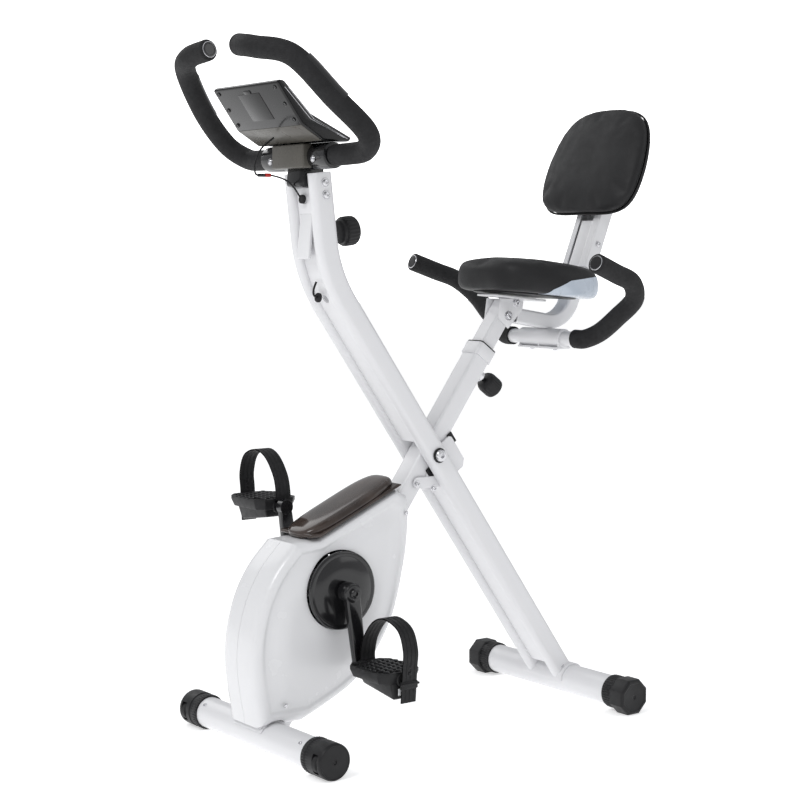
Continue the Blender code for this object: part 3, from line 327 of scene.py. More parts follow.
def plate(outline, low, high):
    """A disc whose corners are moved to a side-view outline, extruded along Y."""
    deselect()
    bpy.ops.mesh.primitive_circle_add(vertices=len(outline), radius=0.1, fill_type="NGON", location=(0, 0, 0))
    obj = bpy.context.object
    for vert, (x, z) in zip(obj.data.vertices, outline):
        vert.co = (FRONT_X + x, low, z)
    bpy.ops.object.mode_set(mode="EDIT")
    bpy.ops.mesh.select_all(action="SELECT")
    bpy.ops.mesh.extrude_region_move(TRANSFORM_OT_translate={"value": (0, high - low, 0)})
    bpy.ops.mesh.select_all(action="SELECT")
    bpy.ops.mesh.normals_make_consistent(inside=False)
    bpy.ops.object.mode_set(mode="OBJECT")
    return obj


def rounded(obj, width, segments=3, angle=30.0):
    """Round every edge sharper than the angle."""
    bevel = obj.modifiers.new("round", "BEVEL")
    bevel.width = width
    bevel.segments = segments
    bevel.limit_method = "ANGLE"
    bevel.angle_limit = math.radians(angle)
    return obj


def box(size, place, turn=0.0, width=0.001, segments=3):
    """A cube at its size, tipped about Y, with rounded edges."""
    deselect()
    bpy.ops.mesh.primitive_cube_add(size=1.0, location=place, rotation=(0.0, turn, 0.0), scale=size)
    obj = bpy.context.object
    bpy.ops.object.transform_apply(location=True, rotation=True, scale=True)
    return rounded(obj, width, segments)


# %% Sweeps
def line_of(points, cyclic=False):
    """A curve object through the points, ready for a bevel."""
    deselect()
    bpy.ops.curve.primitive_bezier_curve_add(location=(0, 0, 0))
    obj = bpy.context.object
    obj.data.splines.clear()
    spline = obj.data.splines.new("POLY")
    spline.points.add(len(points) - 1)
    for knot, place in zip(spline.points, points):
        knot.co = (*place, 1.0)
    spline.use_cyclic_u = cyclic
    return obj


def meshed(curve):
    """The curve as a mesh, with its caps welded on."""
    alone(curve)
    bpy.ops.object.convert(target="MESH")
    obj = bpy.context.object
    bpy.ops.object.mode_set(mode="EDIT")
    bpy.ops.mesh.select_all(action="SELECT")
    bpy.ops.mesh.remove_doubles(threshold=0.00001)
    bpy.ops.mesh.normals_make_consistent(inside=False)
    bpy.ops.object.mode_set(mode="OBJECT")
    return obj


def tube(points, radius, resolution=6, cyclic=False):
    """A round bar along the points."""
    curve = line_of(points, cyclic)
    curve.data.bevel_depth = radius
    curve.data.bevel_resolution = resolution
    curve.data.use_fill_caps = not cyclic
    return meshed(curve)


def swept(points, section, wall=0.0):
    """A section swept along a side-view path: its x runs along Y, its y in the side view."""
    guide = line_of([(x, y, 0.0) for x, y in section], True)
    guide.data.dimensions = "2D"
    curve = line_of(points)
    curve.data.twist_mode = "Z_UP"
    curve.data.bevel_mode = "OBJECT"
    curve.data.bevel_object = guide
    curve.data.use_fill_caps = wall == 0.0
    obj = meshed(curve)
    bpy.data.objects.remove(guide, do_unlink=True)
    if wall:
        shell = obj.modifiers.new("wall", "SOLIDIFY")
        shell.thickness = wall
        shell.offset = -1.0
        settled(obj)
    return obj


def rounded_rect(width, depth, radius, steps=6):
    points = []
    for quarter in range(4):
        cx = (width / 2 - radius) * (1 if quarter in (0, 3) else -1)
        cy = (depth / 2 - radius) * (1 if quarter in (0, 1) else -1)
        for i in range(steps + 1):
            a = math.pi / 2 * (quarter + i / steps)
            points.append((cx + radius * math.cos(a), cy + radius * math.sin(a)))
    return points


# %% Cutting, joining and copying
def carved(obj, cutter):
    """Take the cutter's shape out of the object."""
    for piece in (obj, cutter):
        settled(piece)
    cut = obj.modifiers.new("cut", "BOOLEAN")
    cut.object = cutter
    settled(obj)
    bpy.data.objects.remove(cutter, do_unlink=True)
    return obj


def joined(*pieces):
    """Several pieces as one object."""
    for piece in pieces:
        settled(piece)
    deselect()
    for piece in pieces:
        piece.select_set(True)
    bpy.context.view_layer.objects.active = pieces[0]
    bpy.ops.object.join()
    return pieces[0]


def copied(obj, shift=(0.0, 0.0, 0.0)):
    """A copy with a mesh of its own, moved by a shift."""
    twin = obj.copy()
    twin.data = obj.data.copy()
    bpy.context.scene.collection.objects.link(twin)
    twin.data.transform(Matrix.Translation(shift))
    return twin


def flipped(obj):
    """A mirror copy on the other side of the bike."""
    twin = copied(obj)
    twin.data.transform(Matrix.Diagonal((1.0, -1.0, 1.0, 1.0)))
    twin.data.flip_normals()
    return twin


# %% [markdown]
# The bike's own geometry: two straight axes that cross at the fold pivot, a
# reclined plane for the backrest, and smooth or filleted lines between points.

# %% Places on the bike
PIVOT = (-0.3257, 0.4516)
MAIN_ANGLE = math.radians(54.0)
LEG_ANGLE = math.radians(54.6)
LEAN_ANGLE = math.radians(83.4)
RECLINE = math.radians(22.0)
BACK_FOOT = (-0.7000, 0.8500)
SIDE = Vector((0.0, 1.0, 0.0))


def at(x, y, z):
    return Vector((FRONT_X + x, y, z))


def main_axis(t, n=0.0, y=0.0):
    """Point t up the main tube from the fold pivot, and n in front of its axis."""
    c, s = math.cos(MAIN_ANGLE), math.sin(MAIN_ANGLE)
    return at(PIVOT[0] - c * t + s * n, y, PIVOT[1] + s * t + c * n)


def leg_axis(t, n=0.0, y=0.0):
    """Point t up the rear frame from the fold pivot, and n behind its axis."""
    c, s = math.cos(LEG_ANGLE), math.sin(LEG_ANGLE)
    return at(PIVOT[0] + c * t - s * n, y, PIVOT[1] + s * t + c * n)


def back_axis(t, n=0.0, y=0.0):
    """Point t up the backrest's plane from its foot, and n in front of it."""
    c, s = math.cos(RECLINE), math.sin(RECLINE)
    return at(BACK_FOOT[0] - s * t + c * n, y, BACK_FOOT[1] + c * t + s * n)


# %% Lines
def smooth_path(points, per_span=8, closed=False):
    """Points read from a smooth curve through the given ones."""
    knots = [Vector(p) for p in points]
    if closed:
        knots = [knots[-1]] + knots + knots[:2]
    else:
        knots = [knots[0] * 2 - knots[1]] + knots + [knots[-1] * 2 - knots[-2]]
    path = []
    for i in range(1, len(knots) - 2):
        a, b, c, d = knots[i - 1:i + 3]
        for k in range(per_span):
            t = k / per_span
            path.append(0.5 * (b * 2 + (c - a) * t + (a * 2 - b * 5 + c * 4 - d) * t * t
                               + (b * 3 - a - c * 3 + d) * t ** 3))
    if not closed:
        path.append(knots[-2])
    return path


def filleted(points, radius, steps=16):
    """A path of straight runs whose inner corner is an arc."""
    before, corner, after = [Vector(p) for p in points]
    u = (before - corner).normalized()
    v = (after - corner).normalized()
    half = u.angle(v) / 2
    centre = corner + (u + v).normalized() * (radius / math.sin(half))
    start = corner + u * (radius / math.tan(half)) - centre
    end = corner + v * (radius / math.tan(half)) - centre
    sweep = start.angle(end)
    arc = [centre + (start * math.sin((1 - f) * sweep) + end * math.sin(f * sweep)) / math.sin(sweep)
           for f in (i / steps for i in range(steps + 1))]
    return [before, *arc, after]


# %% [markdown]
# ## Fasteners
# A bolt here is a thin washer, a domed head and the socket sunk into it.
# It is turned once from a list of rings, whatever its size, and placed by the
# direction that it looks in.

# %% Bolt heads
def bolt(name, place, axis, radius, body, height=0.45, washer=1.45, look="steel"):
    """A button-head bolt on a washer, with a socket in its top."""
    r = radius
    h = radius * height
    rings = [(r * washer, 0.0), (r * washer, r * 0.16), (r * washer * 0.95, r * 0.22), (r, r * 0.22),
             (r, r * 0.22 + h * 0.5), (r * 0.86, r * 0.22 + h * 0.85), (r * 0.58, r * 0.22 + h),
             (r * 0.5, r * 0.22 + h), (r * 0.46, r * 0.22 + h * 0.4), (r * 0.1, r * 0.22 + h * 0.35)]
    head = turned(rings, place, axis, 24)
    return finish(head, name, body, look)


for side, name in ((1, "left"), (-1, "right")):
    for i, (x, z) in enumerate([(-0.098, 0.895), (-0.100, 0.876)]):
        bolt(f"upright_bolt_{name}_{i}", at(x, side * 0.0435, z), SIDE * side, 0.0052, "rear_frame")
    for i, (x, z) in enumerate([(-0.2938, 0.4045), (-0.3286, 0.3942)]):
        bolt(f"lock_bolt_{name}_{i}", at(x, side * 0.0252, z), SIDE * side, 0.0040, "rear_frame", 0.7)
    for i, (x, z) in enumerate([(-0.5137, 0.7010), (-0.4958, 0.6782)]):
        bolt(f"seat_bolt_{name}_{i}", at(x, side * 0.0193, z), SIDE * side, 0.0058, "seat", 0.6)
    for i, (x, z) in enumerate([(-0.0150, 0.0800), (-0.2520, 0.3630)]):
        bolt(f"housing_screw_{name}_{i}", at(x, side * 0.0508, z), SIDE * side, 0.0034, "main_frame", 0.3, 1.05)
    bolt(f"crank_bolt_{name}", at(-0.1184, side * 0.0898, 0.2518), SIDE * side, 0.0078, "crank", 0.6, 1.25, "gloss")
    bolt(f"rail_bolt_{name}", back_axis(-0.048, -0.0125, side * 0.0310), SIDE * side, 0.0042, "backrest")
    bolt(f"handle_bolt_{name}", at(-0.5948, side * 0.0330, 0.6225), (0, 0, -1), 0.0050, "seat", 0.7)
    bolt(f"front_foot_screw_{name}", at(0.0182, side * 0.1400, 0.0462), (1, 0, 0.7), 0.0032, "main_frame", 0.4, 1.1)
    bolt(f"saddle_nut_{name}", at(-0.6050, side * 0.0380, 0.0560), (0.6, 0, 0.9), 0.0050, "rear_frame", 0.8)
    bolt(f"front_nut_{name}", at(0.0205, side * 0.0340, 0.0520), (0.66, 0, 0.75), 0.0050, "main_frame", 0.8)
print("bolts:", len(made))

# %% [markdown]
# ## The frame's steel
# The main tube is a rectangular tube with rounded corners, a collar round its
# top and a curved saddle on the front foot. The rear frame is a pair of bent
# rails. Sweeping a rounded rectangle along the same lines as the real bend
# gives long clean highlights, which flat facets would break.

# %% Main tube, collar and saddle
MAIN_W, MAIN_D = 0.0390, 0.0350
FRONT_FOOT = (0.0, 0.0285)
REAR_FOOT = (-0.6240, 0.0315)
FOOT_R = 0.0254


def saddle(foot, half, low, high):
    """A curved plate over the top of a foot tube, from one angle to another."""
    def arc(radius, angles):
        return [(foot[0] + radius * math.sin(a), foot[1] + radius * math.cos(a)) for a in angles]
    angles = [math.radians(low + (high - low) * i / 24) for i in range(25)]
    hoop = plate(arc(FOOT_R + 0.0033, angles) + arc(FOOT_R - 0.0002, angles[::-1]), -half, half)
    return rounded(hoop, 0.0008, 2)


shaft = swept([main_axis(-0.521), main_axis(0.2146)], rounded_rect(MAIN_W, MAIN_D, 0.005), 0.0018)
finish(shaft, "main_tube_shaft", "main_frame", "paint", ["main_tube"])
collar = swept([main_axis(0.1916), main_axis(0.2142)], rounded_rect(MAIN_W + 0.0048, MAIN_D + 0.0048, 0.007), 0.0030)
finish(rounded(collar, 0.0007, 2), "main_tube_collar", "main_frame", "paint")
finish(saddle(FRONT_FOOT, 0.040, -65.0, 65.0), "front_foot_saddle", "main_frame", "paint")
forward = Vector((math.sin(MAIN_ANGLE), 0, math.cos(MAIN_ANGLE)))
boss = turned([(0.0090, 0.0165), (0.0090, 0.0292), (0.0082, 0.0300)], main_axis(0.1728), -forward, 32)
finish(boss, "pin_boss", "main_frame", "steel")

# %% Foot tubes
for name, foot, half, body in (("front_stabilizer", FRONT_FOOT, 0.176, "main_frame"),
                               ("rear_stabilizer", REAR_FOOT, 0.168, "rear_frame")):
    bar = turned([(FOOT_R - 0.001, -half), (FOOT_R, -half + 0.001), (FOOT_R, half - 0.001), (FOOT_R - 0.001, half)],
                 at(foot[0], 0, foot[1]), SIDE, 96)
    finish(bar, name + "_tube", body, "paint", [name])
finish(saddle(REAR_FOOT, 0.050, -40.0, 90.0), "rear_foot_saddle", "rear_frame", "paint")

# %% Rear rails
RAIL_BEND = (-0.1126, 0.7516)
rail_top = at(RAIL_BEND[0] + (0.9110 - RAIL_BEND[1]) / math.tan(LEAN_ANGLE), 0, 0.9110)
rail_line = filleted([leg_axis(-0.5060), at(RAIL_BEND[0], 0, RAIL_BEND[1]), rail_top], 0.22, 24)
for side, name in ((1, "left"), (-1, "right")):
    rail = swept([p + SIDE * side * 0.0325 for p in rail_line], rounded_rect(0.0220, 0.0400, 0.0105, 8), 0.0020)
    finish(rail, f"rail_{name}_tube", "rear_frame", "paint", [f"rail_{name}"])
    ends = [leg_axis(-0.0450, -0.0165), leg_axis(-0.0210, -0.0500)]
    heading = math.atan2(ends[1].z - ends[0].z, ends[1].x - ends[0].x)
    oval = []
    for end, start in zip(ends, (math.pi / 2, -math.pi / 2)):
        for i in range(17):
            a = heading + start + math.pi * i / 16
            oval.append((end.x - FRONT_X + 0.0095 * math.cos(a), end.z + 0.0095 * math.sin(a)))
    low, high = sorted((side * 0.0222, side * 0.0252))
    finish(rounded(plate(oval, low, high), 0.0008, 3), f"lock_plate_{name}", "rear_frame", "paint")
print("steel so far:", len(made))

# %% [markdown]
# ## The fold pivot
# One large bolt goes through both rails and the main tube. Outside each rail
# sits a black washer, and the bright head carries a socket.

# %% Pivot
for side, name in ((1, "left"), (-1, "right")):
    washer = turned([(0.0112, 0.0), (0.0125, 0.0006), (0.0125, 0.0020), (0.0112, 0.0026)],
                    leg_axis(0.0, 0.0, side * 0.0438), SIDE * side, 48)
    finish(washer, f"pivot_washer_{name}", "rear_frame", "black")
    head = turned([(0.0092, 0.0), (0.0100, 0.0008), (0.0100, 0.0040), (0.0088, 0.0056), (0.0050, 0.0062),
                   (0.0044, 0.0062), (0.0042, 0.0025), (0.0010, 0.0022)],
                  leg_axis(0.0, 0.0, side * 0.0464), SIDE * side, 48)
    finish(head, f"pivot_head_{name}", "rear_frame", "steel", ["pivot_bolt"] if side == 1 else ())
corners = [leg_axis(t, n) for t, n in [(-0.058, 0.016), (0.004, 0.016), (0.002, 0.0455), (-0.002, 0.0495),
                                       (-0.049, 0.0495), (-0.059, 0.0400)]]
for side, name in ((1, "left"), (-1, "right")):
    low, high = sorted((side * 0.0222, side * 0.0252))
    gusset = rounded(plate([(p.x - FRONT_X, p.z) for p in corners], low, high), 0.0008, 3)
    finish(gusset, f"fold_gusset_{name}", "rear_frame", "paint")
    for i, (x, z) in enumerate([(-0.3699, 0.4758), (-0.3252, 0.4199)]):
        stop = box((0.020, 0.0020, 0.011), at(x, side * 0.0211, z), -MAIN_ANGLE, 0.0005, 2)
        finish(stop, f"fold_pad_{name}_{i}", "rear_frame", "rubber")

# %% [markdown]
# ## Feet
# The front caps hide small transport wheels, and their rims are ribbed so a
# hand can pull them off. The rear caps have eight flats: turning one levels
# the bike.

# %% Front caps
CAP_R = 0.0288
cap_rings = [(0.0262, 0.154), (0.0280, 0.1545), (0.0288, 0.1560), (0.0288, 0.1600), (0.0288, 0.1640),
             (0.0276, 0.1648), (0.0276, 0.1750), (0.0288, 0.1758), (0.0288, 0.1800), (0.0288, 0.2020),
             (0.0284, 0.2045), (0.0272, 0.2062), (0.0255, 0.2066), (0.0250, 0.2058), (0.0040, 0.2058),
             (0.0034, 0.2044), (0.0010, 0.2042)]
for side, name in ((1, "left"), (-1, "right")):
    cap = turned(cap_rings, at(0, 0, 0.0285), SIDE * side, 160, (0.0010, 0.1550, 0.1645))
    cap = carved(cap, box((0.034, 0.0130, 0.0310), at(0.0185, side * 0.1920, 0.0265), 0.0, 0.0005, 1))
    cap = carved(cap, box((0.08, 0.08, 0.02), at(0, side * 0.18, -0.01), 0.0, 0.0005, 1))
    finish(cap, f"front_cap_{name}_shell", "main_frame", "black", [f"front_cap_{name}"])
    wheel = turned([(0.0040, 0.1864), (0.0100, 0.1866), (0.0104, 0.1872), (0.0128, 0.1862), (0.0142, 0.1878),
                    (0.0142, 0.1962), (0.0128, 0.1978), (0.0104, 0.1968), (0.0100, 0.1974), (0.0040, 0.1976)],
                   at(0.0165, 0, 0.0265), SIDE * side, 48)
    finish(wheel, f"transport_wheel_{name}_tyre", f"wheel_{name}", "rubber", [f"transport_wheel_{name}"])
    pin = turned([(0.0024, 0.1822), (0.0026, 0.1830), (0.0026, 0.2000), (0.0024, 0.2008)],
                 at(0.0165, 0, 0.0265), SIDE * side, 24)
    finish(pin, f"wheel_pin_{name}", "main_frame", "steel")

# %% Rear caps
for side, name in ((1, "left"), (-1, "right")):
    flats = 0.0300 / math.cos(math.pi / 8)
    body_rings = [(flats - 0.0020, 0.1742), (flats, 0.1760), (flats, 0.2015), (flats - 0.0010, 0.2040),
                  (flats - 0.0036, 0.2058), (flats - 0.0070, 0.2058), (flats - 0.0080, 0.2046),
                  (0.0040, 0.2046), (0.0034, 0.2034), (0.0010, 0.2032)]
    octagon = turned(body_rings, Vector((0, 0, 0)), SIDE * side, 8)
    octagon.data.transform(Matrix.Translation(at(REAR_FOOT[0], 0, 0.0300)) @ Matrix.Rotation(math.pi / 8, 4, "Y"))
    octagon = settled(rounded(octagon, 0.0018, 4, 20.0))
    grip = turned([(0.0262, 0.1520), (0.0278, 0.1524), (0.0284, 0.1540), (0.0284, 0.1600), (0.0284, 0.1700),
                   (0.0284, 0.1745), (0.0260, 0.1750)],
                  at(REAR_FOOT[0], 0, REAR_FOOT[1]), SIDE * side, 160, (0.0011, 0.1535, 0.1748))
    finish(joined(octagon, grip), f"rear_cap_{name}_shell", f"rear_cap_{name}", "black", [f"rear_cap_{name}"])
print("feet done:", len(made))

# %% [markdown]
# ## Housing
# The two white shells are soft forms: the side bulges, rolls over to the rim
# and meets its twin at the middle. The outline is extruded once, and its face
# is then extruded again and again, each time drawn in a little more, which
# rolls the edge as a moulder would draft it.

# %% Shell sides
RIM = [(-0.0410, 0.3310), (-0.0050, 0.2940), (0.0210, 0.2515), (0.0360, 0.2060), (0.0420, 0.1670),
       (0.0420, 0.1350), (0.0370, 0.0945), (0.0320, 0.0680), (0.0290, 0.0480)]
BELLY = [(-0.0500, 0.0480), (-0.1040, 0.0700), (-0.1530, 0.0960), (-0.1950, 0.1370), (-0.2275, 0.1880),
         (-0.2420, 0.2275), (-0.2520, 0.2680), (-0.2600, 0.3085), (-0.2640, 0.3580), (-0.2620, 0.3900)]
TOP = [(-0.2400, 0.4010), (-0.0860, 0.3340)]
CRANK = (-0.1184, 0.2518)


def smooth_outline(points, per_span=5):
    return [(p.x, p.y) for p in smooth_path([Vector((x, z, 0)) for x, z in points], per_span)]


outline = smooth_outline(RIM) + smooth_outline(BELLY) + TOP
def picked(obj, wanted):
    """In edit mode, select only the faces that answer the question."""
    bpy.ops.mesh.select_mode(type="FACE")
    bpy.ops.mesh.select_all(action="DESELECT")
    mesh = bmesh.from_edit_mesh(obj.data)
    for face in mesh.faces:
        if wanted(face):
            face.select_set(True)
    mesh.select_flush(True)
    bmesh.update_edit_mesh(obj.data)


ROLL = [(0.994, 0.0365), (0.984, 0.0408), (0.970, 0.0440), (0.952, 0.0464), (0.928, 0.0480), (0.898, 0.0489),
        (0.882, 0.0483), (0.866, 0.0470), (0.845, 0.0466), (0.790, 0.0476), (0.730, 0.0496), (0.680, 0.0511),
        (0.620, 0.0518), (0.540, 0.0520)]
HEART = at(-0.110, 0.0, 0.215)


def shell_half():
    """One shell whose face is extruded outwards and drawn in towards its heart, hollow inside."""
    obj = plate(outline, 0.0003, 0.0310)
    bpy.ops.object.mode_set(mode="EDIT")
    picked(obj, lambda face: face.normal.y > 0.9)
    scale, height = 1.0, 0.0310
    for drawn, out in ROLL:
        bpy.ops.mesh.extrude_region_move(TRANSFORM_OT_translate={"value": (0, out - height, 0)})
        bpy.ops.transform.resize(value=(drawn / scale, 1.0, drawn / scale), center_override=(HEART.x, out, HEART.z))
        scale, height = drawn, out
    picked(obj, lambda face: face.normal.y < -0.9 and face.calc_center_median().y < 0.002)
    bpy.ops.mesh.delete(type="ONLY_FACE")
    bpy.ops.object.mode_set(mode="OBJECT")
    wall = obj.modifiers.new("wall", "SOLIDIFY")
    wall.thickness = 0.0022
    wall.offset = -1.0
    return settled(obj)


def shell_cutters():
    """Windows for the disc, the foot tube and the main tube."""
    yield turned([(0.0640, -0.1), (0.0640, 0.1)], at(CRANK[0], 0, CRANK[1]), SIDE, 96)
    yield turned([(0.0299, -0.1), (0.0299, 0.1)], at(*[FRONT_FOOT[0], 0, FRONT_FOOT[1]]), SIDE, 96)
    for low, high in ((-0.20, 0.05), (-0.56, -0.46)):
        yield swept([main_axis(low), main_axis(high)], rounded_rect(MAIN_W + 0.0012, MAIN_D + 0.0012, 0.005))


shell = shell_half()
for cutter in shell_cutters():
    shell = carved(shell, cutter)
right_shell = flipped(shell)
finish(shell, "housing_left_shell", "main_frame", "shell", ["housing_left"], 30.0)
finish(right_shell, "housing_right_shell", "main_frame", "shell", ["housing_right"], 30.0)

# %% Smoky cover
LID = [(-0.0680, 0.3382), (-0.0880, 0.3382), (-0.2390, 0.4045), (-0.2470, 0.4080), (-0.2470, 0.4100),
       (-0.2420, 0.4112), (-0.0890, 0.3437), (-0.0690, 0.3430)]
lid = settled(rounded(plate(LID, -0.0440, 0.0440), 0.0025, 4, 20.0))
pad_rings = [(0.985, 0.0), (1.0, 0.0014), (1.0, 0.0040), (0.975, 0.0072), (0.92, 0.0094), (0.80, 0.0110),
             (0.60, 0.0122), (0.30, 0.0128)]
pad_angle = math.atan2(0.0680, 0.1540)
deselect()
bpy.ops.mesh.primitive_circle_add(vertices=56, radius=0.0430, fill_type="NGON", location=(0, 0, 0))
dome = bpy.context.object
for vert in dome.data.vertices:
    vert.co.x = math.copysign(abs(vert.co.x / 0.043) ** 0.55, vert.co.x) * 0.0975
    vert.co.y = math.copysign(abs(vert.co.y / 0.043) ** 0.60, vert.co.y) * 0.0425
bpy.ops.object.mode_set(mode="EDIT")
bpy.ops.mesh.select_all(action="SELECT")
wide, high = 1.0, 0.0
for next_wide, next_high in pad_rings:
    bpy.ops.mesh.extrude_region_move(TRANSFORM_OT_translate={"value": (0, 0, next_high - high + 0.00001)})
    bpy.ops.transform.resize(value=(1 - (1 - next_wide / wide) * 0.45, next_wide / wide, 1.0))
    wide, high = next_wide, next_high
bpy.ops.mesh.select_all(action="SELECT")
bpy.ops.mesh.normals_make_consistent(inside=False)
bpy.ops.object.mode_set(mode="OBJECT")
dome.rotation_euler = (0.0, pad_angle, 0.0)
dome.location = at(-0.1575, 0.0, 0.3740)
lid = joined(lid, settled(dome))
finish(lid, "smoky_top_cover", "main_frame", "smoke", ["top_cover"])
print("housing done:", len(made))

# %% [markdown]
# ## Cranks and discs
# A glossy round disc covers the bearing on each side. The crank is a forged
# arm with a round boss at each end, so its outline is two arcs and its edges
# are rounded generously.

# %% Discs and cranks
CRANK_TILT = math.radians(7.65)
CRANK_LENGTH = 0.1200
disc_rings = [(0.0625, 0.0550), (0.0630, 0.0560), (0.0630, 0.0592), (0.0622, 0.0602), (0.0600, 0.0608),
              (0.0575, 0.0610), (0.0560, 0.0606), (0.0545, 0.0606), (0.0530, 0.0616), (0.0300, 0.0626),
              (0.0180, 0.0630), (0.0100, 0.0632)]


def crank_outline(end, root_r, tip_r):
    """Two arcs joined by straight flanks."""
    start = Vector(CRANK)
    along = (end - start).normalized()
    base = math.atan2(along.x, -along.y)
    points = []
    for centre, radius, turn in ((start, root_r, 0.0), (end, tip_r, math.pi)):
        for i in range(17):
            a = base + turn + math.pi * i / 16
            points.append((centre.x + radius * math.cos(a), centre.y + radius * math.sin(a)))
    return points


for side, name in ((1, "left"), (-1, "right")):
    disc = turned(disc_rings, at(CRANK[0], 0, CRANK[1]), SIDE * side, 128)
    finish(disc, f"crank_disc_{name}_face", "crank", "gloss", [f"crank_disc_{name}"])
    down = Vector((-math.sin(CRANK_TILT), -math.cos(CRANK_TILT))) * side
    tip = Vector(CRANK) + down * CRANK_LENGTH
    low, high = sorted((side * 0.0764, side * 0.0896))
    arm = rounded(plate(crank_outline(tip, 0.0135, 0.0110), low, high), 0.0036, 5)
    root = turned([(0.0150, 0.0672), (0.0158, 0.0680), (0.0158, 0.0880), (0.0148, 0.0898), (0.0120, 0.0906),
                   (0.0100, 0.0906)], at(CRANK[0], 0, CRANK[1]), SIDE * side, 64)
    toe = turned([(0.0118, 0.0756), (0.0124, 0.0762), (0.0124, 0.0890), (0.0114, 0.0902), (0.0080, 0.0904)],
                 at(tip.x, 0, tip.y), SIDE * side, 64)
    finish(joined(arm, root, toe), f"crank_{name}_arm", "crank", "gloss", [f"crank_{name}"])

# %% [markdown]
# ## Pedals
# The pedal is a wide platform with a studded tread. A wedge-shaped weight
# hangs under it so that the strap stays on top, and its outer end carries a
# reflector. One stud is modelled, then copied over the tread in staggered rows.

# %% Platform, wedge and studs
def stud():
    """A low diamond with sloping sides."""
    deselect()
    bpy.ops.mesh.primitive_cube_add(size=1.0, scale=(0.0092, 0.0092, 0.0016), rotation=(0, 0, math.pi / 4))
    obj = settled(bpy.context.object)
    bpy.ops.object.mode_set(mode="EDIT")
    picked(obj, lambda face: face.normal.z > 0.9)
    bpy.ops.mesh.extrude_region_move(TRANSFORM_OT_translate={"value": (0, 0, 0.0010)})
    bpy.ops.transform.resize(value=(0.72, 0.72, 1.0))
    bpy.ops.mesh.extrude_region_move(TRANSFORM_OT_translate={"value": (0, 0, 0.0005)})
    bpy.ops.transform.resize(value=(0.62, 0.62, 1.0))
    bpy.ops.object.mode_set(mode="OBJECT")
    return obj


def platform(place, side):
    """The tread plate: eight-sided from above, with a skirt that leans in."""
    half_x, half_y, nip = 0.0400, 0.0490, 0.0130
    corners = [(half_x, half_y - nip), (half_x - nip, half_y), (nip - half_x, half_y), (-half_x, half_y - nip),
               (-half_x, nip - half_y), (nip - half_x, -half_y), (half_x - nip, -half_y), (half_x, nip - half_y)]
    deselect()
    bpy.ops.mesh.primitive_circle_add(vertices=8, radius=0.04, fill_type="NGON", location=(0, 0, 0))
    obj = bpy.context.object
    for vert, (x, y) in zip(obj.data.vertices, corners):
        vert.co = (x * 0.88, y * 0.93, -0.0100)
    bpy.ops.object.mode_set(mode="EDIT")
    bpy.ops.mesh.select_all(action="SELECT")
    bpy.ops.mesh.extrude_region_move(TRANSFORM_OT_translate={"value": (0, 0, 0.0120)})
    bpy.ops.transform.resize(value=(1 / 0.88, 1 / 0.93, 1.0), center_override=(0, 0, 0.002))
    bpy.ops.mesh.extrude_region_move(TRANSFORM_OT_translate={"value": (0, 0, 0.0060)})
    bpy.ops.mesh.inset(thickness=0.0030, depth=0.0)
    bpy.ops.mesh.extrude_region_move(TRANSFORM_OT_translate={"value": (0, 0, -0.0014)})
    bpy.ops.mesh.select_all(action="SELECT")
    bpy.ops.mesh.normals_make_consistent(inside=False)
    bpy.ops.object.mode_set(mode="OBJECT")
    obj.location = place
    return settled(rounded(obj, 0.0014, 3))


def wedge(place, side):
    """The weight under the tread, deeper at its outer end."""
    deselect()
    bpy.ops.mesh.primitive_cube_add(size=1.0, scale=(0.0440, 0.0860, 0.0290))
    obj = settled(bpy.context.object)
    for vert in obj.data.vertices:
        if vert.co.z < 0:
            vert.co.x *= 0.66
            vert.co.z += 0.0010 if vert.co.y * side > 0 else 0.0130
            vert.co.y += -0.0030 * side if vert.co.y * side > 0 else 0.0040 * side
    obj.location = place + Vector((0, side * 0.004, -0.0225))
    return settled(rounded(obj, 0.0030, 4))


for side, name in ((1, "left"), (-1, "right")):
    down = Vector((-math.sin(CRANK_TILT), -math.cos(CRANK_TILT))) * side
    tip = Vector(CRANK) + down * CRANK_LENGTH
    middle = at(tip.x, side * 0.1480, tip.y + 0.0040)
    studs = []
    for row in range(-3, 4):
        for column in range(-3, 4):
            x = 0.0118 * row
            y = 0.0125 * column + (0.0062 if row % 2 else 0.0)
            if abs(x) + abs(y) < 0.062 and abs(y) < 0.043:
                studs.append((x, y))
    first = stud()
    tread = [copied(first, (middle.x + x, middle.y + y, middle.z + 0.0074)) for x, y in studs]
    bpy.data.objects.remove(first, do_unlink=True)
    barrel = turned([(0.0108, 0.0990), (0.0118, 0.1000), (0.0118, 0.1960), (0.0104, 0.1976), (0.0060, 0.1980)],
                    at(tip.x, 0, tip.y), SIDE * side, 48)
    body = joined(platform(middle, side), wedge(middle, side), barrel, *tread)
    finish(body, f"pedal_{name}_body", f"pedal_{name}", "black", [f"pedal_{name}"])
    lens = box((0.0180, 0.0016, 0.0110), middle + Vector((0, side * 0.0484, -0.0230)), 0.0, 0.0006, 2)
    finish(lens, f"pedal_{name}_reflector", f"pedal_{name}", "lens")
    spindle = turned([(0.0070, 0.0906), (0.0078, 0.0912), (0.0078, 0.0960), (0.0060, 0.0970), (0.0060, 0.0992)],
                     at(tip.x, 0, tip.y), SIDE * side, 6)
    finish(spindle, f"pedal_{name}_spindle_flats", "crank", "steel", [f"pedal_spindle_{name}"])

# %% [markdown]
# ## Foot straps
# The strap is moulded rubber, 28 mm wide, with ribs along it. Its path over the
# foot is offset to both sides and extruded across, once for the band and once
# for each rib; a buckle with catches holds it on the pedal's outer edge.

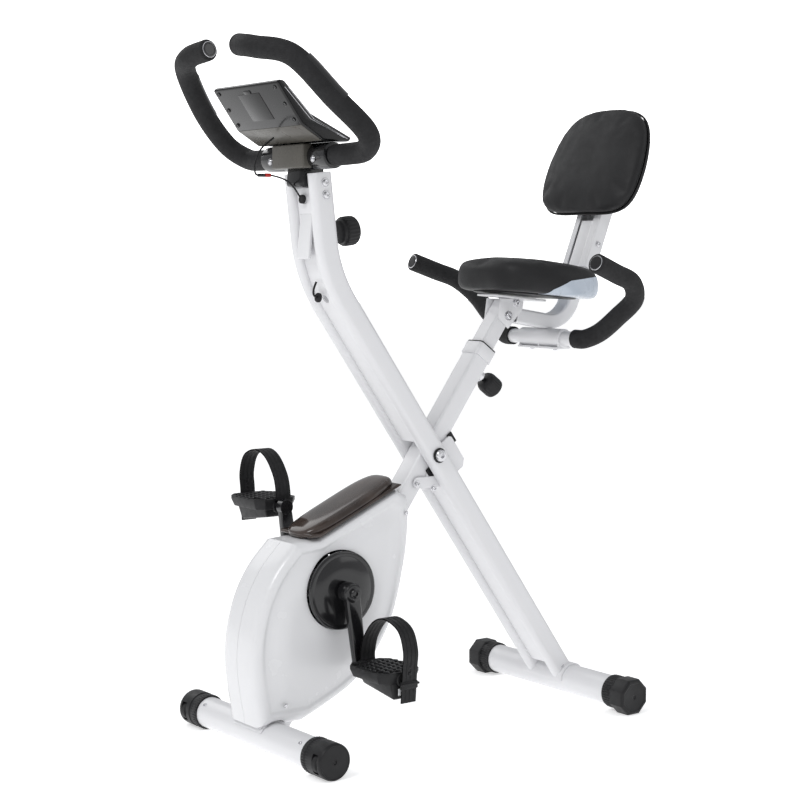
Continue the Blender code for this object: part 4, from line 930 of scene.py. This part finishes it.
# %% Straps
def ribbon(line, thick, low, high):
    """A band as thick as asked along a line across the bike, from low to high along its length."""
    left, right = [], []
    for i, here in enumerate(line):
        along = (line[min(i + 1, len(line) - 1)] - line[max(i - 1, 0)]).normalized()
        out = Vector((0, -along.z, along.y)) * (thick / 2)
        left.append((here + out).yz)
        right.append((here - out).yz)
    obj = plate([(a - FRONT_X, b) for a, b in left + right[::-1]], low, high)
    middle = line[0].x
    for vert in obj.data.vertices:
        vert.co = (middle + vert.co.y, vert.co.x, vert.co.z)
    obj.data.flip_normals()
    return obj


def pedal_end(side):
    down = Vector((-math.sin(CRANK_TILT), -math.cos(CRANK_TILT))) * side
    return Vector(CRANK) + down * CRANK_LENGTH


tip = pedal_end(1)
inner, outer = 0.1480 - 0.0516, 0.1480 + 0.0516
route = [(inner, 0.0095), (inner, 0.0240), (inner + 0.008, 0.050), (inner + 0.032, 0.078), (inner + 0.062, 0.088),
         (outer - 0.006, 0.076), (outer + 0.008, 0.046), (outer + 0.006, 0.016), (outer + 0.002, -0.036)]
line = smooth_path([at(tip.x - 0.006, y, tip.y + z) for y, z in route], 8)
band = joined(ribbon(line, 0.0016, -0.0139, 0.0139), *[ribbon(line, 0.0024, low, low + 0.0050)
                                                       for low in (-0.0139, -0.0063, 0.0013, 0.0089)])
holes = [box((0.0060, 0.0030, 0.0046), at(tip.x - 0.006, outer + 0.0065, tip.y + 0.030 - 0.010 * i), 0.0, 0.0008, 2)
         for i in range(3)]
buckle = joined(box((0.0310, 0.0060, 0.0120), at(tip.x - 0.006, outer + 0.0040, tip.y - 0.0080), 0.0, 0.0012, 2),
                box((0.0350, 0.0036, 0.0034), at(tip.x - 0.006, outer + 0.0070, tip.y - 0.0060), 0.0, 0.0008, 2))
across = Matrix.Translation((pedal_end(-1).x - tip.x, 0.0, pedal_end(-1).y - tip.y))
settled(band)
buckle = joined(buckle, *holes)
settled(buckle)
for piece, label, look, nodes in ((band, "band", "rubber", True), (buckle, "buckle", "black", False)):
    other = flipped(piece)
    other.data.transform(across)
    finish(piece, f"strap_left_{label}", "pedal_left", look, ["strap_left"] if nodes else [])
    finish(other, f"strap_right_{label}", "pedal_right", look, ["strap_right"] if nodes else [])
print("drive done:", len(made))

# %% [markdown]
# ## Handlebar
# One steel tube, bent on a mandrel so that it rises from the clamp and curls
# forward on each side. Foam sleeves are pushed over it, so the foam is swept
# on the same path, slightly fatter, and its ends are rounded over. Round plugs
# close the tube, and thin covers over the foam hold the pulse sensors.

# %% Bar, grips, plugs and sensors
BAR_ROUTE = [(0.0582, 0.0456, 1.0959), (0.0617, 0.0955, 1.0880), (0.0340, 0.1531, 1.0724), (-0.0170, 0.1842, 1.0123),
             (-0.0672, 0.1965, 0.9635), (-0.0880, 0.1640, 0.9395), (-0.0842, 0.1163, 0.9348)]


def foam_ends(line, radius, rings):
    """Short discs that round a foam sleeve over at the start of its line."""
    axis = (line[0] - line[1]).normalized()
    return turned([(radius * wide, high) for wide, high in rings], line[0], axis, 48)


half_bar = smooth_path([at(*p) for p in BAR_ROUTE], 14)
whole = half_bar + [at(-0.0842, 0.06, 0.9348), at(-0.0842, 0.0, 0.9348), at(-0.0842, -0.06, 0.9348)]
whole += [Vector((p.x, -p.y, p.z)) for p in reversed(half_bar)]
finish(tube(whole, 0.0125, 8), "handlebar_bar", "handlebar", "gloss", ["handlebar_tube"])
sleeve_line = [p for p in half_bar if p.y > 0.1200 or p.z > 0.96] + [at(-0.0842, 0.0930, 0.9348)]
sleeve = joined(tube(sleeve_line, 0.0168, 10),
                foam_ends(sleeve_line, 0.0168, [(1.0, -0.0010), (0.99, 0.0008), (0.95, 0.0022), (0.86, 0.0032),
                                                (0.78, 0.0034)]))
plug = foam_ends(sleeve_line, 0.0118, [(1.0, 0.0010), (1.0, 0.0050), (0.95, 0.0060), (0.80, 0.0062),
                                       (0.72, 0.0054), (0.30, 0.0054)])
rim = foam_ends(sleeve_line, 0.0126, [(1.0, 0.0020), (1.0, 0.0046), (0.96, 0.0050), (0.90, 0.0050)])
sensor_line = [p for p in half_bar if 1.004 < p.z < 1.064]
pad = tube([p + Vector((-0.0022, 0.0006, 0.0018)) for p in sensor_line], 0.0160, 10)
finish(sleeve, "grip_left_foam", "handlebar", "foam", ["grip_left"])
finish(flipped(sleeve), "grip_right_foam", "handlebar", "foam", ["grip_right"])
finish(rim, "bar_rim_left", "handlebar", "silver")
finish(flipped(rim), "bar_rim_right", "handlebar", "silver")
finish(plug, "bar_plug_left", "handlebar", "gloss")
finish(flipped(plug), "bar_plug_right", "handlebar", "gloss")
finish(pad, "pulse_cover_left", "handlebar", "gloss")
finish(flipped(pad), "pulse_cover_right", "handlebar", "gloss")
dot = turned([(0.0042, 0.0160), (0.0042, 0.0186), (0.0036, 0.0192), (0.0020, 0.0194)],
             at(-0.0130, 0.1830, 1.0150), Vector((0.65, -0.55, 0.5)), 32)
finish(dot, "pulse_dot_left", "handlebar", "silver")
finish(flipped(dot), "pulse_dot_right", "handlebar", "silver")
# %% [markdown]
# ## Handlebar clamp and neck
# The clamp is a moulded sleeve round the bar with a block below it, which sits
# on top of the upright. A bolt and a knob at its ends squeeze it.

# %% Clamp
NECK_LEAN = math.pi / 2 - LEAN_ANGLE
sleeve_rings = [(0.0185, -0.0890), (0.0200, -0.0880), (0.0204, -0.0860), (0.0204, -0.0400), (0.0198, -0.0385),
                (0.0204, -0.0370), (0.0204, 0.0370), (0.0198, 0.0385), (0.0204, 0.0400), (0.0204, 0.0860),
                (0.0200, 0.0880), (0.0185, 0.0890)]
clamp = turned(sleeve_rings, at(-0.0842, 0.0, 0.9348), SIDE, 64)
finish(clamp, "clamp_sleeve", "rear_frame", "gloss", ["handlebar_clamp"])
finish(box((0.0440, 0.0440, 0.0360), at(-0.0900, 0.0, 0.9050), -NECK_LEAN, 0.0060, 4),
       "clamp_block", "rear_frame", "console")
neck = rounded(plate([(-0.0560, 0.9170), (-0.0560, 0.9540), (-0.0750, 0.9545), (-0.0750, 0.9170)], -0.0440, 0.0440),
               0.0030, 4)
finish(neck, "clamp_neck", "rear_frame", "taupe")
for side in (1, -1):
    bolt(f"clamp_bolt_{'left' if side > 0 else 'right'}", at(-0.0640, side * 0.0600, 0.9300),
         Vector((1.0, 0.0, 0.1)), 0.0042, "rear_frame", 0.45, 1.3, "steel")

# %% [markdown]
# ## Console
# The console is a thin moulded case, wider than it is deep, and folded like an
# open book: a display slopes towards the rider and a skirt drops towards the
# bar. The display is dark glass in a raised frame; the back has a battery
# door, screws and a warm-grey lower band where the wire comes out.

# %% Case, display and back
CASE = [(0.0220, 1.0390), (-0.0220, 0.9790), (-0.0620, 0.9560), (-0.1100, 0.9560), (-0.1160, 0.9620),
        (-0.0400, 0.9960), (0.0080, 1.0430), (0.0170, 1.0440)]
case = rounded(plate(CASE, -0.0920, 0.0920), 0.0034, 5)
finish(case, "console_case", "rear_frame", "console", ["console_body"])


def on_face(a, b, share, lift, y=0.0):
    """A place on a sloping face of the case, lifted off it, and the face's own tip angle."""
    (ax, az), (bx, bz) = a, b
    along = Vector((bx - ax, 0, bz - az))
    normal = Vector((-along.z, 0, along.x)).normalized()
    spot = at(ax + (bx - ax) * share, y, az + (bz - az) * share) + normal * lift
    return spot, -math.atan2(along.z, along.x), normal


spot, tip_angle, normal = on_face((-0.0400, 0.9960), (0.0080, 1.0430), 0.50, 0.0004)
finish(box((0.0560, 0.1560, 0.0020), spot, tip_angle, 0.0008, 3), "display_bezel", "rear_frame", "gloss")
spot, tip_angle, normal = on_face((-0.0400, 0.9960), (0.0080, 1.0430), 0.52, 0.0012)
finish(box((0.0400, 0.0900, 0.0014), spot, tip_angle, 0.0005, 2), "display_glass", "rear_frame", "glass")
spot, tip_angle, normal = on_face((0.0220, 1.0390), (-0.0220, 0.9790), 0.50, -0.0002)
door = box((0.0480, 0.0600, 0.0020), spot, tip_angle, 0.0007, 2)
latch = box((0.0060, 0.0180, 0.0034), on_face((0.0220, 1.0390), (-0.0220, 0.9790), 0.14, -0.0002)[0], tip_angle, 0.0010, 2)
finish(joined(door, latch), "battery_door", "rear_frame", "console")
for i, (share, y) in enumerate([(0.10, 0.080), (0.10, -0.080), (0.88, 0.080), (0.88, -0.080), (0.50, 0.080), (0.50, -0.080)]):
    spot, tip_angle, normal = on_face((0.0220, 1.0390), (-0.0220, 0.9790), share, 0.0006, y)
    hole = turned([(0.0034, -0.0012), (0.0034, 0.0006), (0.0028, 0.0010), (0.0024, 0.0002), (0.0010, 0.0002)],
                  spot, -normal if normal.z > 0 else normal, 24)
    finish(hole, f"case_screw_{i + 1}", "rear_frame", "gloss")
spot, tip_angle, normal = on_face((-0.0220, 0.9790), (-0.0620, 0.9560), 0.50, 0.0)
finish(box((0.0430, 0.1780, 0.0016), spot, tip_angle, 0.0006, 2), "case_lower_band", "rear_frame", "taupe")
for side, name in ((1, "left"), (-1, "right")):
    lines = []
    for lift in (0.0, 0.0060):
        trail = [at(-0.1060 + lift, side * 0.0921, 0.9606 + lift * 0.25), at(-0.0440 + lift, side * 0.0921, 0.9880),
                 at(0.0020 + lift, side * 0.0921, 1.0330)]
        lines.append(tube(filleted(trail, 0.010, 6), 0.0006, 2))
    finish(joined(*lines), f"case_trim_{name}", "rear_frame", "silver")
finish(turned([(0.0118, -0.0030), (0.0118, 0.0010), (0.0108, 0.0020), (0.0060, 0.0022)],
              at(-0.0790, 0.0, 0.9795), Vector((-math.sin(math.radians(24)), 0, math.cos(math.radians(24)))), 48),
       "mode_button", "button", "grey", ["console_button"])

# %% [markdown]
# ## Wire, plate and tension knob
# The console's lead loops from under the case, through a plug, to a grommet in
# the upright. It is a polyline smoothed and given a round bevel.

# %% Wire and its plugs
WIRE_ROUTE = [(-0.0317, 0, 0.9640), (-0.0095, 0, 0.9470), (0.0015, 0, 0.9282), (0.0034, 0, 0.9129),
              (-0.0020, 0, 0.9054), (-0.0240, 0, 0.9060), (-0.0499, 0, 0.9005), (-0.0666, 0, 0.8901),
              (-0.0800, 0, 0.8740)]
finish(tube(smooth_path([at(*p) for p in WIRE_ROUTE], 8), 0.0014, 5), "console_lead", "rear_frame", "rubber",
       ["console_wire"])
finish(box((0.0120, 0.0052, 0.0052), at(-0.0085, 0, 0.9054), 0.0, 0.0010, 2), "lead_plug", "rear_frame", "gloss")
finish(box((0.0100, 0.0058, 0.0058), at(-0.0200, 0, 0.9058), 0.0, 0.0010, 2), "lead_socket", "rear_frame", "red")
lean = Vector((math.sin(LEAN_ANGLE), 0, math.cos(LEAN_ANGLE)))
finish(turned([(0.0070, -0.0030), (0.0072, 0.0000), (0.0068, 0.0018), (0.0050, 0.0026), (0.0030, 0.0022)],
              at(-0.0840, 0.0, 0.8702), lean, 40), "lead_grommet", "rear_frame", "rubber", ["wire_grommet"])
lower = turned([(0.0074, -0.0020), (0.0078, 0.0006), (0.0072, 0.0026), (0.0050, 0.0032), (0.0030, 0.0028)],
               at(-0.1145, 0.0, 0.7150), lean, 40)
stub = tube(smooth_path([at(-0.1140, 0, 0.7150), at(-0.1060, 0, 0.7190), at(-0.1055, 0, 0.7280), at(-0.1105, 0, 0.7400)], 6),
            0.0017, 5)
finish(joined(lower, stub), "lower_grommet", "rear_frame", "rubber")
plate_up = box((0.0060, 0.0330, 0.0720), at(-0.0905, 0.0, 0.8120), -NECK_LEAN, 0.0018, 4)
finish(plate_up, "upright_plate", "rear_frame", "shell", ["front_plate"])

# %% Knobs
backwards = Vector((-math.sin(LEAN_ANGLE), 0.0, math.cos(LEAN_ANGLE)))
knob = turned([(0.0120, 0.0245), (0.0170, 0.0250), (0.0190, 0.0265), (0.0200, 0.0310), (0.0230, 0.0330),
               (0.0240, 0.0350), (0.0240, 0.0500), (0.0234, 0.0530), (0.0215, 0.0552), (0.0180, 0.0560),
               (0.0120, 0.0560)], at(-0.1280, 0.0, 0.8160), backwards, 96, (0.0012, 0.0332, 0.0545))
finish(knob, "tension_dial", "knob", "black", ["tension_knob"])
seat_knob = turned([(0.0038, 0.0149), (0.0040, 0.0160), (0.0040, 0.0370), (0.0120, 0.0374), (0.0150, 0.0390),
                    (0.0172, 0.0430), (0.0180, 0.0460), (0.0180, 0.0630), (0.0172, 0.0670), (0.0150, 0.0688),
                    (0.0090, 0.0690)], main_axis(0.1728), -forward, 96, (0.0011, 0.0440, 0.0660))
finish(seat_knob, "seat_knob", "pin", "black", ["seat_pin"])

# %% [markdown]
# ## Saddle
# The saddle is foam over a moulded pan under a grained cover. Its outline is a
# wide oval with a short nose. A grid is drawn over the outline and lifted into
# a crown that drops at the edges, then the mesh is subdivided, so the cover
# looks stuffed and not cut from a board. Its rear corners carry smooth
# blue-grey panels, which are bonded on the real one.

# %% Crowned cushions
def cushion(half, low, high, belly, place, tuck=0.90):
    """A stuffed slab over a half outline: rings of the outline drawn in and lifted into a crown.

    half lists (along, side) from one end to the other; place maps (along, side, height) to the world."""
    line = smooth_path([Vector((a, b, 0)) for a, b in half], 4)
    loop = [(p.x, max(p.y, 0.0)) for p in line]
    loop += [(a, -b) for a, b in reversed(loop[1:-1])]
    mid = sum(a for a, b in loop) / len(loop)
    thick = high - low
    profile = [(tuck, low), (tuck * 0.4 + 0.6, low + thick * 0.03), (0.992, low + thick * 0.16), (1.0, low + thick * 0.36),
               (1.0, low + thick * 0.55), (0.988, low + thick * 0.74), (0.955, low + thick * 0.90),
               (0.905, high), (0.80, high + belly * 0.42), (0.64, high + belly * 0.74),
               (0.44, high + belly * 0.92), (0.20, high + belly)]
    deselect()
    bpy.ops.mesh.primitive_circle_add(vertices=len(loop), radius=0.1, fill_type="NGON", location=(0, 0, 0))
    obj = bpy.context.object
    for vert, (a, b) in zip(obj.data.vertices, loop):
        vert.co = (mid + (a - mid) * profile[0][0], b * profile[0][0], profile[0][1])
    bpy.ops.object.mode_set(mode="EDIT")
    bpy.ops.mesh.select_all(action="SELECT")
    scale, height = profile[0]
    for wide, high_now in profile[1:]:
        bpy.ops.mesh.extrude_region_move(TRANSFORM_OT_translate={"value": (0, 0, high_now - height)})
        bpy.ops.transform.resize(value=(wide / scale, wide / scale, 1.0), center_override=(mid, 0, high_now))
        scale, height = wide, high_now
    bpy.ops.mesh.select_all(action="SELECT")
    bpy.ops.mesh.normals_make_consistent(inside=False)
    bpy.ops.object.mode_set(mode="OBJECT")
    for vert in obj.data.vertices:
        vert.co = place(*vert.co)
    return obj


def stuffed(obj, voxel=0.0050):
    """Even the mesh, blow it up a little against itself, and smooth what is left."""
    alone(obj)
    remesh = obj.modifiers.new("even", "REMESH")
    remesh.mode = "VOXEL"
    remesh.voxel_size = voxel
    settled(obj)
    scene = bpy.context.scene
    edge = obj.vertex_groups.new(name="seam")
    start = [v.co.copy() for v in obj.data.vertices]
    edge.add([v.index for v in obj.data.vertices if held(v.co, obj)], 1.0, "REPLACE")
    cloth = obj.modifiers.new("stuffing", "CLOTH")
    cloth.settings.quality = 4
    cloth.settings.mass = 0.4
    cloth.settings.tension_stiffness = 25
    cloth.settings.compression_stiffness = 25
    cloth.settings.bending_stiffness = 4
    cloth.settings.vertex_group_mass = "seam"
    cloth.settings.use_pressure = True
    cloth.settings.uniform_pressure_force = 4.0
    cloth.settings.effector_weights.gravity = 0.0
    cloth.point_cache.frame_start = 1
    cloth.point_cache.frame_end = 20
    for frame_now in range(1, 21):
        scene.frame_set(frame_now)
    alone(obj)
    bpy.ops.object.modifier_apply(modifier="stuffing")
    scene.frame_set(1)
    for vert, was in zip(obj.data.vertices, start):
        moved = vert.co - was
        if moved.length > 0.0050:
            vert.co = was + moved.normalized() * 0.0050
    obj.vertex_groups.clear()
    soft = obj.modifiers.new("soft", "SMOOTH")
    soft.factor = 0.5
    soft.iterations = 4
    fine = obj.modifiers.new("fine", "SUBSURF")
    fine.levels = 1
    fine.render_levels = 1
    return settled(obj)


SEAT_HALF = [(-0.4470, 0.0), (-0.4475, 0.0360), (-0.4540, 0.0640), (-0.4710, 0.0850), (-0.5030, 0.1010),
             (-0.5400, 0.1150), (-0.5880, 0.1180), (-0.6200, 0.1090), (-0.6380, 0.0840), (-0.6370, 0.0480),
             (-0.6340, 0.0)]


def on_seat(a, b, h):
    """The seat tips up towards the back; its rear edges curl up a little."""
    return at(a, b, h + 0.10 * (a + 0.545))


def held(co, obj):
    """The seam that the cover is stapled along: the lowest band of the saddle, the rear band of the backrest."""
    if obj.name.startswith("seat"):
        return co.z - 0.10 * (co.x - FRONT_X + 0.545) < 0.7215
    c, s = math.cos(RECLINE), math.sin(RECLINE)
    return (co.x - FRONT_X - BACK_FOOT[0]) * c + (co.z - BACK_FOOT[1]) * s < 0.0180


pan = cushion([(-0.53 + (a + 0.53) * 0.74, b * 0.72) for a, b in SEAT_HALF], 0.7112, 0.7148, 0.0002, on_seat)
finish(pan, "seat_pan", "seat", "black", ["saddle_base"])
pillow = cushion(SEAT_HALF, 0.7140, 0.7640, 0.0070, on_seat, 0.86)
pillow.name = "seat_pillow"
pillow = stuffed(pillow)
pillow.name = "seat_pillow"
corner_cut = [(-0.5050, 0.6900), (-0.5080, 0.7077), (-0.5208, 0.7243), (-0.5519, 0.7390), (-0.5958, 0.7436),
              (-0.6600, 0.7480), (-0.6700, 0.6900)]
trim = copied(pillow)
trim.data.calc_loop_triangles()
lifted = [v.co + v.normal * 0.0007 for v in trim.data.vertices]
for vert, place in zip(trim.data.vertices, lifted):
    vert.co = place
keep = plate(corner_cut, -0.2, 0.2)
deselect()
cut = trim.modifiers.new("keep", "BOOLEAN")
cut.operation = "INTERSECT"
cut.object = keep
cut.solver = "EXACT"
settled(trim)
bpy.data.objects.remove(keep, do_unlink=True)
finish(trim, "seat_corner_panels", "seat", "panel")
finish(pillow, "seat_pillow", "seat", "vinyl", ["saddle_cushion"])
# %% [markdown]
# ## Backrest
# The backrest is a board with foam on its front, in one cover. It is made like
# the saddle: crowned rings over the outline, then evened and blown up. A welt
# runs along the seam, and two screws hold the board to its rail.

# %% Backrest
BACK_HALF = [(0.0, 0.0), (0.0, 0.0600), (0.0080, 0.0940), (0.0300, 0.1120), (0.0650, 0.1180), (0.1050, 0.1160),
             (0.1480, 0.1050), (0.1780, 0.0830), (0.1940, 0.0480), (0.1980, 0.0)]


def on_back(a, b, h):
    return back_axis(a, h, b)


board = cushion([(0.099 + (a - 0.099) * 0.97, b * 0.97) for a, b in BACK_HALF], 0.0034, 0.0098, 0.0002, on_back)
finish(board, "back_board", "backrest", "black", ["backrest_board"])
rest = cushion(BACK_HALF, 0.0113, 0.0340, 0.0060, on_back)
rest.name = "back_pillow"
rest = stuffed(rest)
finish(rest, "back_pillow", "backrest", "vinyl", ["backrest_cushion"])
welt = [on_back(p.x, max(p.y, 0.0) * 1.004, 0.0130) for p in smooth_path([Vector((a, b, 0)) for a, b in BACK_HALF], 4)]
welt += [Vector((p.x, -p.y, p.z)) for p in reversed(welt[1:-1])]
finish(tube(welt, 0.0019, 3, True), "back_welt", "backrest", "black")

# %% [markdown]
# ## Seat frame and side handle
# A flat-oval tube bends under the seat and up to the backrest, and a round bar
# runs across below it and curls up beside the rider, sleeved in foam.

# %% Seat tube and side handle
elbow = filleted([at(-0.5205, 0, 0.6785), back_axis(-0.2005, -0.0120), back_axis(-0.0080, -0.0120)], 0.055, 20)
bracket = box((0.1100, 0.0560, 0.0036), at(-0.5200, 0.0, 0.7085), math.radians(5.7) * -1.0, 0.0010, 2)
for low, high in ((0.0168, 0.0193), (-0.0193, -0.0168)):
    cheek = rounded(plate([(-0.4790, 0.7080), (-0.5310, 0.7060), (-0.5280, 0.6880), (-0.4960, 0.6560), (-0.4740, 0.6740)],
                          low, high), 0.0008, 2)
    bracket = joined(settled(bracket), settled(cheek))
finish(bracket, "seat_cradle", "seat", "paint", ["seat_bracket"])
finish(swept(elbow, rounded_rect(0.0320, 0.0260, 0.0050), 0.0018), "seat_elbow", "seat", "paint",
       ["backrest_tube"])
SIDE_ROUTE = [(-0.4918, 0.2418, 0.7689), (-0.5400, 0.2360, 0.7520), (-0.5822, 0.2293, 0.7368),
              (-0.6095, 0.2074, 0.7081), (-0.6089, 0.1689, 0.6776), (-0.6060, 0.1314, 0.6515),
              (-0.5964, 0.1040, 0.6390), (-0.5948, 0.0800, 0.6380)]
side_line = smooth_path([at(*p) for p in SIDE_ROUTE], 10)
cross = side_line + [at(-0.5948, 0.0, 0.6380)] + [Vector((p.x, -p.y, p.z)) for p in reversed(side_line)]
finish(tube(cross, 0.0126, 8), "side_bar", "seat", "paint", ["side_handle"])
foam_line = [p for p in side_line if p.y > 0.0820] + [at(-0.5948, 0.0810, 0.6380)]
side_foam = joined(tube(foam_line, 0.0163, 10),
                   foam_ends(foam_line, 0.0163, [(1.0, -0.0010), (0.99, 0.0008), (0.95, 0.0020), (0.86, 0.0028),
                                                 (0.79, 0.0030)]))
side_rim = foam_ends(foam_line, 0.0126, [(1.0, 0.0008), (1.0, 0.0030), (0.95, 0.0036), (0.90, 0.0036)])
side_plug = foam_ends(foam_line, 0.0112, [(1.0, 0.0008), (1.0, 0.0038), (0.92, 0.0048), (0.70, 0.0050)])
finish(side_foam, "side_foam_left", "seat", "foam", ["handle_foam_left"])
finish(flipped(side_foam), "side_foam_right", "seat", "foam", ["handle_foam_right"])
finish(side_rim, "side_rim_left", "seat", "silver")
finish(flipped(side_rim), "side_rim_right", "seat", "silver")
finish(side_plug, "side_plug_left", "seat", "black")
finish(flipped(side_plug), "side_plug_right", "seat", "black")
band = turned([(0.0152, -0.0540), (0.0163, -0.0530), (0.0163, 0.0530), (0.0152, 0.0540)],
              at(-0.5948, 0, 0.6380), SIDE, 56)
lug = box((0.0300, 0.1060, 0.0040), at(-0.5948, 0.0, 0.6212), 0.0, 0.0012, 3)
cheeks = [box((0.0260, 0.0040, 0.0220), at(-0.5948, y, 0.6300), 0.0, 0.0010, 2) for y in (-0.0500, 0.0, 0.0500)]
finish(joined(band, lug, *cheeks), "side_clamp", "seat", "paint", ["handle_clamp"])
for side, name in ((1, "left"), (-1, "right")):
    bolt(f"side_clamp_bolt_{name}", at(-0.5948, side * 0.0300, 0.6192), Vector((0, 0, -1.0)), 0.0042, "seat",
         0.5, 1.2, "steel")
print("pieces so far:", len(made))

# %% [markdown]
# ## Hand over
# What was not modelled again, mostly the works inside the housing, keeps its
# plain solid and takes the same paints as the rest.

# %% Hand over
for node, obj in frame["nodes"].items():
    slot_name = next(p["material_slot"] for p in frame["record"]["subparts"] if p["node"] == node)
    look = {"white_paint": "paint", "white_plastic": "shell", "smoky_cover": "smoke", "black_plastic": "black",
            "crank_black": "gloss", "dark_grey_plastic": "console", "grey_plastic": "grey", "steel": "steel",
            "cast_iron": "iron", "foam": "foam", "rubber": "rubber", "black_leather": "vinyl"}[slot_name]
    for material_slot in obj.material_slots:
        material_slot.material = LOOKS[look][0]
print("pieces made:", len(made))
